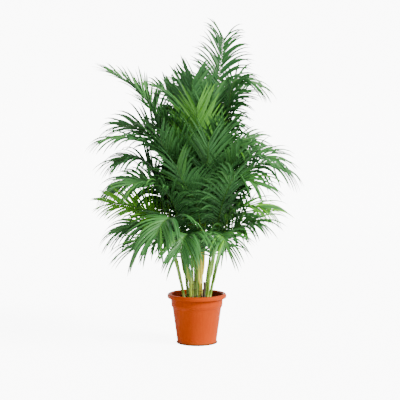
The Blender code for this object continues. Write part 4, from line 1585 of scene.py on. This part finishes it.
@dataclass
class Pot:
    """The nursery pot: a thin moulded wall with a rolled rim, a collar, a foot ring and holes."""

    materials: Sequence
    rim_radius: float = 0.120
    rim_top: float = 0.201
    roll: float = 0.0075
    skirt_foot: float = 0.1835
    curl: float = 0.004
    collar_foot: tuple = (0.1032, 0.149)
    body_top: tuple = (0.0992, 0.1455)
    body_foot: tuple = (0.0800, 0.0065)
    foot_radius: float = 0.0832
    foot_height: float = 0.0045
    pad: float = 0.040
    channel: float = 0.072
    channel_height: float = 0.003
    channel_ease: float = 0.0005
    channel_edge: float = 0.0003
    bead_z: float = 0.1585
    bead: float = 0.0006
    bead_step: float = 0.0008
    fillet: float = 0.0012
    wall: float = 0.002
    steps: int = 128
    holes: int = 6
    hole_radius: float = 0.005
    hole_sides: int = 24
    sharp_angle: float = 38.0

    def _outside(self) -> list[tuple[float, float]]:
        """Lists the profile from under the pad, up the outside and under the rolled rim.

        Returns:
            The points, as distance from the axis and height.
        """
        collar_x, collar_z = self.collar_foot
        top_x, top_z = self.body_top
        foot_x, foot_z = self.body_foot
        roll_centre = (self.rim_radius - self.roll, self.rim_top - self.roll)
        inner_roll = self.roll - self.wall
        collar_top_x = roll_centre[0] - inner_roll
        slope = (collar_top_x - collar_x) / (roll_centre[1] - collar_z)
        bead_x = collar_x + slope * (self.bead_z - collar_z)
        foot_arc_x = self.foot_radius - self.fillet
        curl_centre = (self.rim_radius - self.curl, self.skirt_foot + self.curl)
        # The points beside the foot, the body and the collar ease their corners, so that they catch light.
        return [
            (0.0, 0.0),
            (self.pad - self.channel_ease, 0.0),
            (self.pad + self.channel_edge, self.channel_edge),
            (self.pad + self.channel_height, self.channel_height),
            (self.channel - self.channel_height, self.channel_height),
            (self.channel - self.channel_edge, self.channel_edge),
            (self.channel + self.channel_ease, 0.0),
            *arc_points((foot_arc_x, self.fillet), self.fillet, -90, 0, 4),
            *arc_points((foot_arc_x, self.foot_height - self.fillet), self.fillet, 0, 70, 4),
            (foot_x + 0.0004, foot_z - 0.0003),
            (foot_x + 0.0001, foot_z + 0.0010),
            (top_x - 0.0003, top_z - 0.0022),
            (top_x + 0.0004, top_z - 0.0004),
            (collar_x - 0.0008, collar_z - 0.0007),
            (collar_x, collar_z + 0.0008),
            (bead_x, self.bead_z - 2 * self.bead_step),
            *[
                (bead_x + self.bead * math.sin(math.pi * i / 4), self.bead_z + self.bead_step * (i - 2))
                for i in range(1, 4)
            ],
            (bead_x + slope * 2 * self.bead_step, self.bead_z + 2 * self.bead_step),
            *arc_points(roll_centre, inner_roll, 180, 0, 10),
            *arc_points(curl_centre, self.curl - self.wall, 0, -90, 4),
        ]

    def _inside(self) -> list[tuple[float, float]]:
        """Lists the profile from the curl's end over the rim and down the inside to the floor.

        Returns:
            The points, as distance from the axis and height.
        """
        roll_centre = (self.rim_radius - self.roll, self.rim_top - self.roll)
        curl_centre = (self.rim_radius - self.curl, self.skirt_foot + self.curl)
        return [
            (curl_centre[0] - 0.0006, self.skirt_foot + 0.0014),
            (curl_centre[0] - 0.0006, self.skirt_foot + 0.0006),
            *arc_points(curl_centre, self.curl, -90, 0, 6),
            *arc_points(roll_centre, self.roll, 0, 180, 16),
            (self.collar_foot[0] - self.wall, self.collar_foot[1] + 0.0008),
            (self.body_top[0] - self.wall, self.body_top[1] - 0.0010),
            (self.body_foot[0] - self.wall, self.body_foot[1] + 0.0010),
            (self.foot_radius - self.wall, self.foot_height),
            (self.foot_radius - self.wall, self.wall),
            (self.channel, self.wall),
            (self.channel - self.channel_height, self.wall + self.channel_height),
            (self.pad + self.channel_height, self.wall + self.channel_height),
            (self.pad, self.wall),
            (0.0, self.wall),
        ]

    def build(self) -> bpy.types.Object:
        """Builds the pot.

        Returns:
            The piece.
        """
        bm = bmesh.new()
        spun(bm, [*self._outside(), *self._inside()], self.steps)
        pot = finished("pot_shell", bm, self.materials, self.sharp_angle)
        self._drill(pot)
        return pot

    def _drill(self, pot: bpy.types.Object) -> None:
        """Cuts the drain holes.

        Args:
            pot: The pot, whose mesh is changed.
        """
        bm = bmesh.new()
        for i in range(self.holes):
            centre = polar(360.0 * (i + 0.5) / self.holes, (self.pad + self.channel) / 2.0, 0.0)
            bmesh.ops.create_cone(
                bm,
                cap_ends=True,
                segments=self.hole_sides,
                radius1=self.hole_radius,
                radius2=self.hole_radius,
                depth=4.0 * self.channel_height,
                matrix=Matrix.Translation(centre),
            )
        drills = finished("drills", bm, (), self.sharp_angle)
        cut = pot.modifiers.new("Drain holes", "BOOLEAN")
        cut.operation = "DIFFERENCE"
        cut.solver = "EXACT"
        cut.object = drills
        graph = bpy.context.evaluated_depsgraph_get()
        drilled = bpy.data.meshes.new_from_object(pot.evaluated_get(graph))
        pot.modifiers.clear()
        pot.data = drilled
        bpy.data.objects.remove(drills, do_unlink=True)


# ---------------------------------------------------------------------------------------------
# Studio
# ---------------------------------------------------------------------------------------------


class Lamp(NamedTuple):
    """A broad soft lamp: where it shines from, its strength, its angle in degrees and its colour."""

    place: tuple[float, float, float]
    strength: float
    softness: float
    colour: Colour


@dataclass
class Studio:
    """A pale floor that sweeps up behind, a soft lamp, a white sky and the camera.

    The floor and the sky are far brighter to the camera than to the plant, so that the ground
    looks white while the plant keeps its shadows.
    """

    key: Lamp = Lamp((2.5, -1.15, 1.65), 8.6, 24.0, (1.0, 0.98, 0.93))
    sky: float = 1.0
    backdrop: float = 8.0
    floor_colour: Colour = (0.86, 0.86, 0.86)
    floor_roughness: float = 0.9
    floor_reach: float = 7.0
    sweep_radius: float = 1.6
    camera_place: tuple = (0.0125, -4.03, 0.83)
    camera_tilt: float = 3.55
    camera_lens: float = 90.0
    sensor: float = 36.0

    def build(self) -> None:
        """Builds the floor, the lamp, the sky and the camera."""
        self._floor()
        self._lamp("key", self.key)
        self._sky()
        self._camera()

    def _sky(self) -> None:
        """Gives the scene its white sky."""
        world = bpy.data.worlds.new("studio")
        world.use_nodes = True
        wiring = Wiring(world.node_tree)
        background = world.node_tree.nodes["Background"]
        wiring.feed(background.inputs["Color"], WHITE)
        seen = wiring.node("LightPath").outputs["Is Camera Ray"]
        strength = wiring.math("MULTIPLY_ADD", seen, self.backdrop, self.sky)
        wiring.feed(background.inputs["Strength"], strength)
        bpy.context.scene.world = world

    def _floor(self) -> None:
        """Builds the floor with its swept back wall."""
        bm = bmesh.new()
        reach, sweep = self.floor_reach, self.sweep_radius
        profile = [(-reach, 0.0), (reach - sweep, 0.0)]
        profile += arc_points((reach - sweep, sweep), sweep, -90, 0, 16)[1:]
        profile.append((reach, reach))
        corners = [bm.verts.new((-reach, y, z)) for y, z in profile]
        edges = [bm.edges.new(pair) for pair in zip(corners, corners[1:])]
        swept = bmesh.ops.extrude_edge_only(bm, edges=edges)["geom"]
        moved = [item for item in swept if isinstance(item, bmesh.types.BMVert)]
        bmesh.ops.translate(bm, verts=moved, vec=(2.0 * reach, 0.0, 0.0))
        material, wiring, shader = new_material("pale floor")
        wiring.feed(shader.inputs["Base Color"], self.floor_colour)
        wiring.feed(shader.inputs["Roughness"], self.floor_roughness)
        wiring.feed(shader.inputs["Emission Color"], WHITE)
        seen = wiring.node("LightPath").outputs["Is Camera Ray"]
        wiring.feed(shader.inputs["Emission Strength"], wiring.math("MULTIPLY", seen, self.backdrop))
        finished("floor", bm, (material,), 60.0)

    def _lamp(self, name: str, lamp: Lamp) -> None:
        """Adds one lamp.

        Args:
            name: Its name.
            lamp: Its settings.
        """
        light = bpy.data.lights.new(name, "SUN")
        light.energy = lamp.strength
        light.angle = math.radians(lamp.softness)
        light.color = lamp.colour
        obj = bpy.data.objects.new(name, light)
        obj.location = lamp.place
        obj.rotation_euler = Vector(lamp.place).to_track_quat("Z", "Y").to_euler()
        bpy.context.scene.collection.objects.link(obj)

    def _camera(self) -> None:
        """Adds the camera."""
        camera = bpy.data.cameras.new("camera")
        camera.lens = self.camera_lens
        camera.sensor_width = self.sensor
        obj = bpy.data.objects.new("camera", camera)
        obj.location = self.camera_place
        obj.rotation_euler = (math.radians(90.0 - self.camera_tilt), 0.0, 0.0)
        bpy.context.scene.collection.objects.link(obj)
        bpy.context.scene.camera = obj


def main() -> None:
    """Builds the studio and every piece of the plant round the frame."""
    logging.basicConfig(level=logging.INFO, format="%(message)s")
    Studio().build()
    effects = Effects()
    pot = Pot((PotFinish().material(effects),))
    deliver(pot.build(), Slot.POT, ("pot",))
    soil = Soil((SoilFinish().material(effects),))
    deliver(soil.bed(), Slot.SOIL, ("soil",))
    deliver(soil.loose(), Slot.SOIL)
    cane_material = CaneFinish().material(effects)
    husk_material = HuskFinish().material(effects)
    stub_material = STUB_FINISH.material(effects)
    for name in CANES:
        material = stub_material if name == "stub" else cane_material
        deliver(CaneBuilder(name, (material,)).build(), Slot.CANE, (f"cane_{name}",))
    deliver(HuskBuilder((husk_material,)).build(), Slot.CANE)
    leaf_materials = (LeafFinish().material(effects), StalkFinish().material(effects))
    for number in range(len(FRONDS)):
        piece = FrondBuilder(number, leaf_materials).build()
        deliver(piece, Slot.LEAF, (frond_node(number),))


if __name__ == "__main__":
    main()
